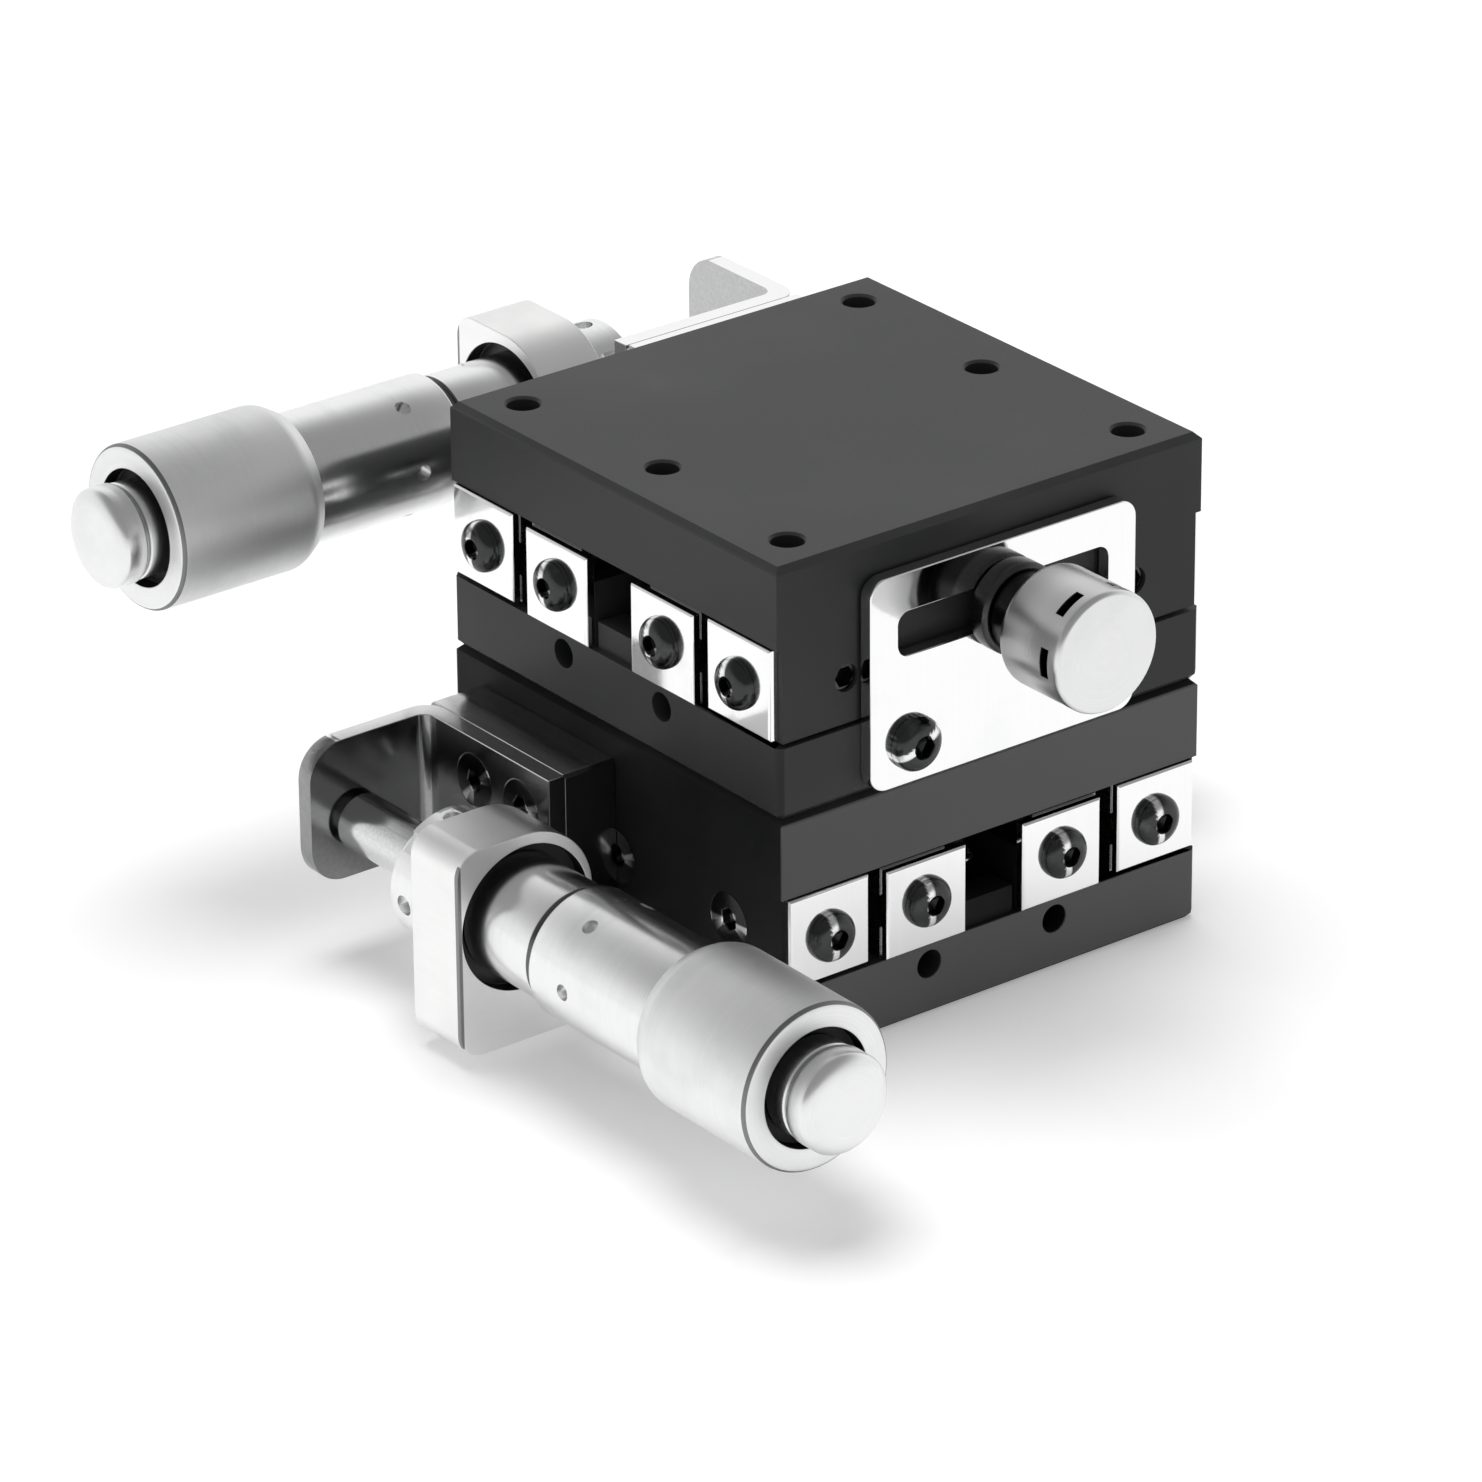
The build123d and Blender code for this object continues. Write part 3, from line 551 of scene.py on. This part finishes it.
def rounded(corners):
    """(x, radius) outline points from corners (x, radius, round), each eased by an arc."""
    points = []
    for index, (x, r, ease) in enumerate(corners):
        here = Vector((x, r))
        before = Vector(corners[index - 1][:2]) - here
        after = Vector(corners[(index + 1) % len(corners)][:2]) - here
        if not ease or not before.length or not after.length:
            points.append((x, r))
            continue
        reach = min(ease, before.length * 0.48, after.length * 0.48)
        start, end = here + before.normalized() * reach, here + after.normalized() * reach
        for step in range(ROUND_STEPS + 1):
            t = step / ROUND_STEPS
            spot = start * (1 - t) ** 2 + here * 2 * t * (1 - t) + end * t ** 2
            points.append((spot.x, spot.y))
    return points


def lathe(outline, segments=TURNED_FACES, centre=(MIC_Y, MIC_Z), along="X"):
    """A closed solid turned about an axis along X or Y, from (place along it, radius) points."""
    shape = bmesh.new()
    rings = []
    for place, radius in outline:
        ring = []
        for index in range(1 if radius < 1e-6 else segments):
            angle = 2 * pi * index / segments
            side, up = centre[0] + radius * cos(angle), centre[1] + radius * sin(angle)
            ring.append(shape.verts.new((place, side, up) if along == "X" else (side, place, up)))
        rings.append(ring)
    closed = len(rings[0]) > 1
    pairs = list(zip(rings, rings[1:])) + ([(rings[-1], rings[0])] if closed else [])
    for first, second in pairs:
        for index in range(segments):
            after = (index + 1) % segments
            corners = [first[index % len(first)], first[after % len(first)],
                       second[after % len(second)], second[index % len(second)]]
            corners = list(dict.fromkeys(corners))
            if len(corners) > 2:
                shape.faces.new(corners)
    bmesh.ops.recalc_face_normals(shape, faces=shape.faces)
    return mesh_of(shape, "turned")


# -------------------------------------------------- what is grown on marked points
def geometry_tree(name, sizes):
    """A Geometry Nodes tree with a geometry, the named sizes and a material as its inputs."""
    group = bpy.data.node_groups.new(name, "GeometryNodeTree")
    group.interface.new_socket("Geometry", in_out="INPUT", socket_type="NodeSocketGeometry")
    for size in sizes:
        group.interface.new_socket(size, in_out="INPUT", socket_type="NodeSocketFloat")
    group.interface.new_socket("Material", in_out="INPUT", socket_type="NodeSocketMaterial")
    group.interface.new_socket("Geometry", in_out="OUTPUT", socket_type="NodeSocketGeometry")
    tree = Tree(group)
    entry = tree.add("NodeGroupInput")
    inputs = {socket.name: Signal(tree, socket) for socket in entry.outputs if socket.name}
    return tree, inputs


def end_tree(tree, geometry, material):
    """Realize Instances, Set Material and the output."""
    real = tree.node("GeometryNodeRealizeInstances", None, [geometry])
    done = tree.node("GeometryNodeSetMaterial", None, {"Geometry": real, "Material": material})
    output = tree.add("NodeGroupOutput")
    tree.feed(output.inputs[0], done)
    return tree.node_tree


def chosen(tree, index, values):
    """The value that belongs to a whole-number index."""
    switch = tree.add("GeometryNodeIndexSwitch", {"data_type": "FLOAT"})
    while len(switch.index_switch_items) < len(values):
        switch.index_switch_items.new()
    tree.feed(switch.inputs[0], index)
    for place, value in enumerate(values):
        tree.feed(switch.inputs[place + 1], value)
    return tree.out(switch)


SCREW_SIZES = (
    "Head Radius", "Head Height", "Round Width", "Round Height", "Key Width", "Key Depth",
    "Shank Radius", "Shank Length", "Cone Depth", "Rib Depth", "Rib Count")


def screw_tree():
    """Socket screws on every point.

    Each is a wrapped grid whose rows run from the socket over the head to the shank's tip."""
    tree, size = geometry_tree("socket_screws", SCREW_SIZES)
    head, high = size["Head Radius"], size["Head Height"]
    wide, drop = size["Round Width"], size["Round Height"]
    key, floor = size["Key Width"] * 0.5, high - size["Key Depth"]
    shank, tip = size["Shank Radius"], size["Shank Length"] * -1.0
    lip = key * 0.09
    rows = [(0.0, floor - key * 0.35, 0), (key * 0.97, floor, 1), (key, floor + key * 0.04, 1),
            (key, high - lip, 1), (key + lip, high, 1)]
    for step in range(7):
        turn = pi / 2 * step / 6
        rows.append((head - wide + wide * sin(turn), high - drop + drop * cos(turn), 0))
    side = len(rows) - 1
    rows += [(head, (high - drop) * 0.15, 0), (head - wide * 0.12, 0.0, 0),
             (shank, size["Cone Depth"] * -1.0, 0), (shank, tip + shank * 0.3, 0),
             (shank * 0.7, tip, 0), (0.0, tip, 0)]

    grid = tree.add("GeometryNodeMeshGrid", None, {
        "Size X": 1.0, "Size Y": 1.0, "Vertices X": SCREW_FACES + 1, "Vertices Y": len(rows)})
    place = tree.add("ShaderNodeSeparateXYZ", None, [tree.node("GeometryNodeInputPosition")])
    angle = (tree.out(place, 0) + 0.5) * (2 * pi)
    row = (tree.out(place, 1) + 0.5) * (len(rows) - 1) + 0.5
    radii, heights, hexes = zip(*rows)
    radius = chosen(tree, row, radii)
    height = chosen(tree, row, heights)
    hexed = chosen(tree, row, [float(share) for share in hexes])
    # painted highlight: 1 on the socket and the top of the head, fading down its side
    painted_highlight = chosen(tree, row, [max(0.0, min(1.0, 3.6 - 0.4 * index)) for index in range(len(rows))])
    ribbed = chosen(tree, row, [float(index in (side, side + 1)) for index in range(len(rows))])
    flat = ((angle + pi / 6) % (pi / 3)) - pi / 6
    corner = 1.0 / flat.cosine()
    ribs = (angle * size["Rib Count"] * 0.5).sine().size() * size["Rib Depth"] * ribbed
    radius = radius * (1.0 + (corner - 1.0) * hexed) - ribs
    spot = tree.node("ShaderNodeCombineXYZ", None,
                     [radius * angle.cosine(), radius * angle.sine(), height])
    wrapped = tree.node("GeometryNodeSetPosition", None,
                        {"Geometry": tree.out(grid), "Position": spot})
    marked = tree.node("GeometryNodeStoreNamedAttribute",
                       {"data_type": "FLOAT", "domain": "POINT"},
                       {"Geometry": wrapped, "Name": "painted_highlight", "Value": painted_highlight})
    closed = tree.node("GeometryNodeMergeByDistance", None, {"Geometry": marked, "Distance": MERGE})

    facing = tree.node("GeometryNodeInputNamedAttribute", {"data_type": "FLOAT_VECTOR"},
                       {"Name": "facing"})
    spin = tree.add("FunctionNodeRandomValue", {"data_type": "FLOAT"})
    for socket in spin.inputs:
        if socket.name == "Max" and socket.type == "VALUE":
            socket.default_value = pi / 3
        if socket.name == "Seed":
            socket.default_value = SPIN_SEED
    turned = [socket for socket in spin.outputs if socket.type == "VALUE"][0]
    tilt = tree.node("ShaderNodeCombineXYZ", None, [0.0, 0.0, Signal(tree, turned)])
    about = tree.node("FunctionNodeEulerToRotation", None, [tilt])
    aimed = tree.node("FunctionNodeAlignRotationToVector", {"axis": "Z", "pivot_axis": "AUTO"},
                      {"Rotation": about, "Vector": facing})
    screws = tree.node("GeometryNodeInstanceOnPoints", None,
                       {"Points": size["Geometry"], "Instance": closed, "Rotation": aimed})
    return end_tree(tree, screws, size["Material"])


def spring_tree():
    """A helical tension spring along its first point's X, with a ring at each end."""
    tree, size = geometry_tree("tension_spring", (
        "Coil Radius", "Wire Radius", "Turns", "Coil Length", "Ring Radius", "Ring Reach"))
    coil = tree.node("GeometryNodeCurveSpiral", None, {
        "Resolution": 20, "Rotations": size["Turns"], "Start Radius": size["Coil Radius"],
        "End Radius": size["Coil Radius"], "Height": size["Coil Length"], "Reverse": False})
    centred = tree.node("ShaderNodeCombineXYZ", None, [0.0, 0.0, size["Coil Length"] * -0.5])
    coil = tree.node("GeometryNodeTransform", None, {"Geometry": coil, "Translation": centred})
    ring = tree.node("GeometryNodeCurvePrimitiveCircle", {"mode": "RADIUS"},
                     {"Resolution": 40, "Radius": size["Ring Radius"]})
    rings = []
    for sign in (-1.0, 1.0):
        reach = tree.node("ShaderNodeCombineXYZ", None, [0.0, 0.0, size["Ring Reach"] * sign])
        rings.append(tree.node("GeometryNodeTransform", None, {
            "Geometry": ring, "Translation": reach, "Rotation": (0.0, pi / 2, 0.0)}))
    lines = tree.add("GeometryNodeJoinGeometry")
    for line in [coil, *rings]:
        tree.node_tree.links.new(line.socket, lines.inputs[0])
    section = tree.node("GeometryNodeCurvePrimitiveCircle", {"mode": "RADIUS"},
                        {"Resolution": 10, "Radius": size["Wire Radius"]})
    wire = tree.node("GeometryNodeCurveToMesh", None, {
        "Curve": tree.out(lines), "Profile Curve": section, "Fill Caps": True})
    laid = tree.node("GeometryNodeTransform", None,
                     {"Geometry": wire, "Rotation": (0.0, pi / 2, 0.0)})
    springs = tree.node("GeometryNodeInstanceOnPoints", None,
                        {"Points": size["Geometry"], "Instance": laid})
    return end_tree(tree, springs, size["Material"])


def grown(name, points, facings, group, sizes, material):
    """The plain mesh that a tree makes on points given in one stage's millimetres."""
    seeds = bpy.data.meshes.new(name)
    seeds.from_pydata(points, [], [])
    facing = seeds.attributes.new("facing", "FLOAT_VECTOR", "POINT")
    for index, direction in enumerate(facings):
        facing.data[index].vector = direction
    made = linked(name, seeds)
    modifier = made.modifiers.new("grow", "NODES")
    modifier.node_group = group
    for socket in group.interface.items_tree:
        if socket.in_out == "INPUT" and socket.name in sizes:
            modifier[socket.identifier] = sizes[socket.name]
        if socket.in_out == "INPUT" and socket.name == "Material":
            modifier[socket.identifier] = material
    mesh = applied(made)
    bpy.data.objects.remove(made)
    with_outward_faces(mesh)
    return mesh


def screw(*sizes):
    return dict(zip(SCREW_SIZES, sizes))


SCREWS = screw_tree()
BUTTON = screw(2.02, 1.1, 1.2, 0.95, 1.6, 0.85, 0.8, 4.5, 0.0, 0.0, 24.0)
CAP_M25 = screw(2.15, 1.35, 1.2, 1.05, 1.7, 1.0, 1.02, 4.0, 0.0, 0.06, 32.0)
CAP_M2 = screw(1.9, 2.0, 0.22, 0.22, 1.5, 1.1, 0.8, 4.0, 0.0, 0.06, 32.0)
SUNK = screw(2.15, 0.0, 0.06, 0.04, 1.6, 1.0, 0.8, 3.0, 1.35, 0.0, 24.0)


def in_both_ends(y):
    """Points and facings of the screws in both end faces, on both sides of the middle."""
    return ([(end * END_PLATE_FACE, side * y, GUIDE_Z) for end in (-1, 1) for side in (-1, 1)],
            [(end, 0, 0) for end in (-1, 1) for side in (-1, 1)])


def in_a_row(places, y, z):
    """Points and facings of the screws along a side face at y."""
    return [(x, y, z) for x in places], [(0, 1 if y > 0 else -1, 0)] * len(places)


SCREW_SETS = {
    "base_end_screws": ("base", *in_both_ends(INNER_SCREW_Y), BUTTON),
    "table_end_screws": ("table", *in_both_ends(OUTER_SCREW_Y), BUTTON),
    "clamp_plate_screws": ("base", *in_a_row((-CLAMP_SCREW_X, CLAMP_SCREW_X), CLAMP_FACE,
                                             CLAMP_SCREW_Z), CAP_M25),
    "holder_screws": ("base", *in_a_row(FOOT_SCREW_X, FOOT_FACE, FOOT_SCREW_Z), CAP_M2),
    "anvil_screws": ("table", *in_a_row(LEG_SCREW_X, LEG_OUTER, LEG_SCREW_Z), SUNK),
    "outer_rail_screws": ("table", *in_a_row((-RAIL_SCREW_X, 0, RAIL_SCREW_X), -TABLE_SIDE,
                                             GUIDE_Z), SUNK),
}


def make_screws(stage):
    for kind, (part, points, facings, sizes) in SCREW_SETS.items():
        node = f"{stage}_{kind}"
        mesh = grown(f"{node}_cut", points, facings, SCREWS, sizes, finish_for(node))
        smoothed(mesh, 28)
        in_place(mesh, stage)
        piece(f"{node}_cut", mesh, BODIES[stage][part], node)


SPRING = spring_tree()
SPRING_SIZES = {"Coil Radius": 1.58, "Wire Radius": 0.22, "Turns": 46.0, "Coil Length": 24.2,
                "Ring Radius": 1.24, "Ring Reach": (SPRING_BASE_X - SPRING_TABLE_X) / 2}


def make_spring(stage):
    node = f"{stage}_return_spring"
    middle = (SPRING_BASE_X + SPRING_TABLE_X) / 2
    mesh = grown(f"{node}_coil", [(middle, 0, GUIDE_Z)], [(1, 0, 0)], SPRING, SPRING_SIZES,
                 finish_for(node))
    smoothed(mesh, 60)
    in_place(mesh, stage)
    made = linked(f"{node}_coil", mesh)
    dress(made, node)
    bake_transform(made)
    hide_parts(node)


# -------------------------------------------------- turned parts
SIX_TURNS = range(0, 360, 60)
FOUR_TURNS = range(6, 366, 90)


def make_turned(stage, kind, part, outline):
    node = f"{stage}_{kind}"
    mesh = lathe(outline)
    smoothed(mesh, 40)
    in_place(mesh, stage)
    piece(f"{node}_turned", mesh, BODIES[stage][part], node)


def thimble_outline():
    """Cup with a bevelled lip towards the scale, a shallow recess in its end and an eased rim."""
    return rounded([
        (THIMBLE_START, BARREL_R + 0.1, 0.08), (THIMBLE_START, 5.75, 0.1),
        (THIMBLE_START + 1.2, THIMBLE_R, 0.5), (THIMBLE_END, THIMBLE_R, 0.45),
        (THIMBLE_END, RECESS_R, 0.15), (WEB_OUTER, RECESS_R, 0.2), (WEB_OUTER, WEB_BORE_R, 0),
        (WEB_INNER, WEB_BORE_R, 0), (WEB_INNER, BARREL_R + 0.1, 0.3)])


def ratchet_outline():
    """Pin, wide neck and domed cap."""
    cap = [(PIN_START, 0.0), (PIN_START, PIN_R), (PIN_END, PIN_R), (PIN_END, NECK_R),
           (NECK_END, NECK_R + 0.08), (NECK_END + 0.15, NECK_R - 0.1),
           (NECK_END + 0.3, NECK_R - 0.1), (NECK_END + 0.4, CAP_R - 0.1),
           (NECK_END + 0.6, CAP_R), (CAP_END, CAP_R)]
    for step in range(1, DOME_STEPS):
        turn = pi / 2 * step / DOME_STEPS
        cap.append((CAP_END + CAP_DOME * sin(turn), CAP_R * cos(turn) ** 0.62))
    return cap + [(CAP_END + CAP_DOME, 0.0)]


def knob_outline():
    """Screw, neck and head of the clamp knob, with a ring of points on each side of the notches."""
    return [(KNOB_THREAD_START, 0.0)] + rounded([
        (KNOB_THREAD_START, KNOB_THREAD_R, 0.2), (KNOB_NECK_START, KNOB_THREAD_R, 0),
        (KNOB_NECK_START, KNOB_NECK_R, 0.1), (KNOB_START, KNOB_NECK_R, 0.05),
        (KNOB_START, KNOB_R - 0.45, 0.1), (KNOB_START + 0.45, KNOB_R, 0.25),
        (NOTCH_Y - 0.85, KNOB_R, 0), (NOTCH_Y + 0.85, KNOB_R, 0),
        (KNOB_END - 0.25, KNOB_R, 0.2), (KNOB_END, KNOB_R - 0.25, 0.15),
        (KNOB_END, 3.0, 0.0), (KNOB_END - 0.08, 0.6, 0.0)]) + [(KNOB_END - 0.1, 0.0)]


def turned_about(along, centre, spot, degrees):
    """The place at a spot along an axis, with its Z towards the turn in degrees."""
    if along == "X":
        place, turn = (spot, *centre), Matrix.Rotation(radians(degrees - 90), 4, "X")
    else:
        place, turn = (centre[0], spot, centre[1]), Matrix.Rotation(radians(90 - degrees), 4, "Y")
    return Matrix.Translation(place) @ turn


def pin_cutters(spot, radius, diameter, turns):
    """Pins that sink 0.6 mm into a part of the micrometer, at each turn in degrees."""
    shape = bmesh.new()
    for degrees in turns:
        place = turned_about("X", (MIC_Y, MIC_Z), spot, degrees)
        bmesh.ops.create_cone(shape, cap_ends=True, segments=32, radius1=diameter / 2,
                              radius2=diameter / 2, depth=2.0,
                              matrix=place @ Matrix.Translation((0, 0, radius + 0.4)))
    return mesh_of(shape, "cutters")


def notch_cutters():
    """Blocks round the clamp knob; a notch has a length along its axis, a width and a depth."""
    length, width, depth = NOTCH
    shape = bmesh.new()
    for degrees in SIX_TURNS:
        place = turned_about("Y", (0, KNOB_Z), NOTCH_Y, degrees)
        place = place @ Matrix.Translation((0, 0, KNOB_R - depth + 1.0))
        bmesh.ops.create_cube(shape, size=1.0,
                              matrix=place @ Matrix.Diagonal((width, length, 2.0, 1.0)))
    return mesh_of(shape, "cutters")


def with_cut(made, cutter_mesh):
    """A boolean cut on an object, and the cutter to remove once it is applied."""
    cutter = linked("cutters", cutter_mesh)
    cut = made.modifiers.new("cut", "BOOLEAN")
    cut.operation, cut.object, cut.solver = "DIFFERENCE", cutter, "EXACT"
    return cutter


def cut_away(mesh, cutter_mesh):
    body = linked("body", mesh)
    cutter = with_cut(body, cutter_mesh)
    mesh = applied(body)
    bpy.data.objects.remove(body)
    bpy.data.objects.remove(cutter)
    return mesh


def make_sleeve(stage):
    """Stem, sleeve and barrel, with the groove between them and a ring of key holes."""
    node = f"{stage}_micrometer_sleeve"
    mesh = lathe(rounded([
        (STEM_BACK, STEM_BORE_R, 0), (STEM_BACK, STEM_R - 0.4, 0.1), (STEM_BACK + 0.4, STEM_R, 0.1),
        (COUNTERBORE_X + 0.1, STEM_R, 0), (COUNTERBORE_X + 0.1, SLEEVE_R, 0.1),
        (GROOVE_START, SLEEVE_R, 0.1), (GROOVE_START + 0.2, SLEEVE_R - 0.25, 0.05),
        (GROOVE_END - 0.25, SLEEVE_R - 0.25, 0.05), (GROOVE_END, BARREL_R, 0.15),
        (KEY_HOLE_X - 1.2, BARREL_R, 0), (KEY_HOLE_X + 1.2, BARREL_R, 0),
        (BARREL_END, BARREL_R, 0.15), (BARREL_END, BARREL_BORE_R, 0.1),
        (14.5, BARREL_BORE_R, 0), (14.5, STEM_BORE_R, 0)]))
    mesh = cut_away(mesh, pin_cutters(KEY_HOLE_X, BARREL_R, KEY_HOLE_D, SIX_TURNS))
    smoothed(mesh, 35)
    in_place(mesh, stage)
    piece(f"{node}_drilled", mesh, BODIES[stage]["base"], node)


def make_clamp_knob(stage):
    """Knob with six notches round its rim."""
    node = f"{stage}_clamp_knob"
    mesh = lathe(knob_outline(), centre=(0, KNOB_Z), along="Y")
    mesh = cut_away(mesh, notch_cutters())
    smoothed(mesh, 40)
    in_place(mesh, stage)
    piece(f"{node}_notched", mesh, BODIES[stage]["knob"], node)


def holder_counterbore():
    """The wide, shallow bore that the sleeve sits in."""
    start, end = COUNTERBORE_X, HOLDER_X + 1.2
    return lathe([(start, 0.0), (start, COUNTERBORE_R), (end, COUNTERBORE_R), (end, 0.0)],
                 segments=96)


def nut_holes():
    """Spanner holes round the lock nut."""
    return pin_cutters(NUT_HOLE_X, NUT_R, NUT_HOLE_D, FOUR_TURNS)


CUTS = {"micrometer_holder": holder_counterbore, "lock_nut": nut_holes}
EASED = (                   # piece, what carries it, width of its broken edges
    ("base", "base", 0.14), ("table", "table", 0.14), ("clamp_plate", "base", 0.12),
    ("anvil_bracket", "table", 0.12), ("anvil_spacer", "table", 0.1),
    ("micrometer_holder", "base", 0.18), ("lock_nut", "base", 0.08),
    ("base_end_plates", "base", 0.05), ("table_end_plates", "table", 0.05),
    ("clamp_collar", "table", 0.08))


def make_stage(stage):
    make_screws(stage)
    make_spring(stage)
    make_sleeve(stage)
    make_turned(stage, "thimble", "thimble", thimble_outline())
    make_turned(stage, "ratchet_knob", "ratchet", ratchet_outline())
    make_clamp_knob(stage)
    for kind, part, width in EASED:
        cutter_mesh = CUTS[kind]() if kind in CUTS else None
        if cutter_mesh:
            in_place(cutter_mesh, stage)
        eased(f"{stage}_{kind}", BODIES[stage][part], width, cutter_mesh)


for stage in STAGES:
    make_stage(stage)

for node, made in frame["nodes"].items():
    if not made.hide_render:
        dress(made, node)


# -------------------------------------------------- floor, light and camera
FLOOR_REACH = 4.0           # metres
FLOOR_SINK = 0.00002        # below the object's underside
FLOOR_GREY, FLOOR_GLOW = 0.82, 0.27
FILL_LIGHT = 0.42           # what the world gives to rays that nobody sees
CAMERA_AT = (0.455216, -0.358108, 0.288346)
AZIMUTH, ELEVATION, ROLL = 52.44, 25.40, -0.47
FOCAL_LENGTH, FRAME_WIDTH = 8472, 1482      # in pixels
SENSOR = 36.0
WHITE = (1, 1, 1, 1)


def seen_ray(tree):
    """1 where a ray comes from the camera or off a mirror or through glass."""
    path = tree.add("ShaderNodeLightPath")
    camera, glossy, through = (Signal(tree, path.outputs[f"Is {kind} Ray"])
                               for kind in ("Camera", "Glossy", "Transmission"))
    return (camera + glossy + through).at_most(1.0)


def make_floor():
    mesh = bpy.data.meshes.new("floor")
    corners = [(-1, -1), (1, -1), (1, 1), (-1, 1)]
    mesh.from_pydata([(x * FLOOR_REACH, y * FLOOR_REACH, 0) for x, y in corners],
                     [], [(0, 1, 2, 3)])
    floor = linked("floor", mesh)
    floor.location.z = -FLOOR_SINK
    material = bpy.data.materials.new("floor")
    material.use_nodes = True
    tree = Tree(material.node_tree)
    tree.node_tree.nodes.clear()
    matt = tree.node("ShaderNodeBsdfDiffuse", None, {"Color": grey(FLOOR_GREY)})
    glow = tree.node("ShaderNodeEmission", None,
                     {"Color": WHITE, "Strength": seen_ray(tree) * FLOOR_GLOW})
    both = tree.add("ShaderNodeAddShader")
    tree.feed(both.inputs[0], matt)
    tree.feed(both.inputs[1], glow)
    output = tree.add("ShaderNodeOutputMaterial")
    tree.feed(output.inputs[0], tree.out(both))
    mesh.materials.append(material)


def make_world():
    """White behind the object; bright low down and dark overhead for what the metals mirror."""
    world = bpy.data.worlds.new("studio")
    bpy.context.scene.world = world
    world.use_nodes = True
    tree = Tree(world.node_tree)
    tree.node_tree.nodes.clear()
    seen = seen_ray(tree)
    split = tree.add("ShaderNodeSeparateXYZ", None, [tree.node("ShaderNodeTexCoord")])
    x, y, z = (tree.out(split, index) for index in range(3))
    backdrop = (z + x * 0.45 - y * 0.4).ramp(0.0, 0.7, 1.0, 0.3)
    mirrored = backdrop.at_least(z.ramp(0.05, 0.25, 1.0, 0.0))
    strength = seen * mirrored + (1.0 - seen) * FILL_LIGHT
    sky = tree.node("ShaderNodeBackground", None, {"Color": WHITE, "Strength": strength})
    output = tree.add("ShaderNodeOutputWorld")
    tree.feed(output.inputs[0], sky)


def make_lamp(name, spot, aim, width, power):
    lamp = bpy.data.lights.new(name, "AREA")
    lamp.shape, lamp.size, lamp.energy = "DISK", width, power
    made = linked(name, lamp)
    made.location = spot
    made.rotation_mode = "QUATERNION"
    made.rotation_quaternion = (Vector(aim) - Vector(spot)).to_track_quat("-Z", "Y")
    made.visible_glossy = False


def make_camera():
    azimuth, elevation, roll = radians(AZIMUTH), radians(ELEVATION), radians(ROLL)
    back = Vector((sin(azimuth) * cos(elevation), -cos(azimuth) * cos(elevation), sin(elevation)))
    right = Vector((cos(azimuth), sin(azimuth), 0))
    level = Matrix((right, back.cross(right), back))
    rolled = Matrix(((cos(roll), sin(roll), 0), (-sin(roll), cos(roll), 0), (0, 0, 1))) @ level
    lens = bpy.data.cameras.new("camera")
    lens.sensor_width, lens.lens = SENSOR, SENSOR * FOCAL_LENGTH / FRAME_WIDTH
    lens.clip_start, lens.clip_end = 0.05, 20.0
    camera = linked("camera", lens)
    camera.matrix_world = Matrix.Translation(CAMERA_AT) @ rolled.transposed().to_4x4()
    bpy.context.scene.camera = camera


make_floor()
make_world()
make_lamp("overhead", (-0.24, 0.0, 1.2), (0, 0, 0.02), 0.8, 9.6)
make_camera()
bpy.context.scene.view_settings.view_transform = "Standard"
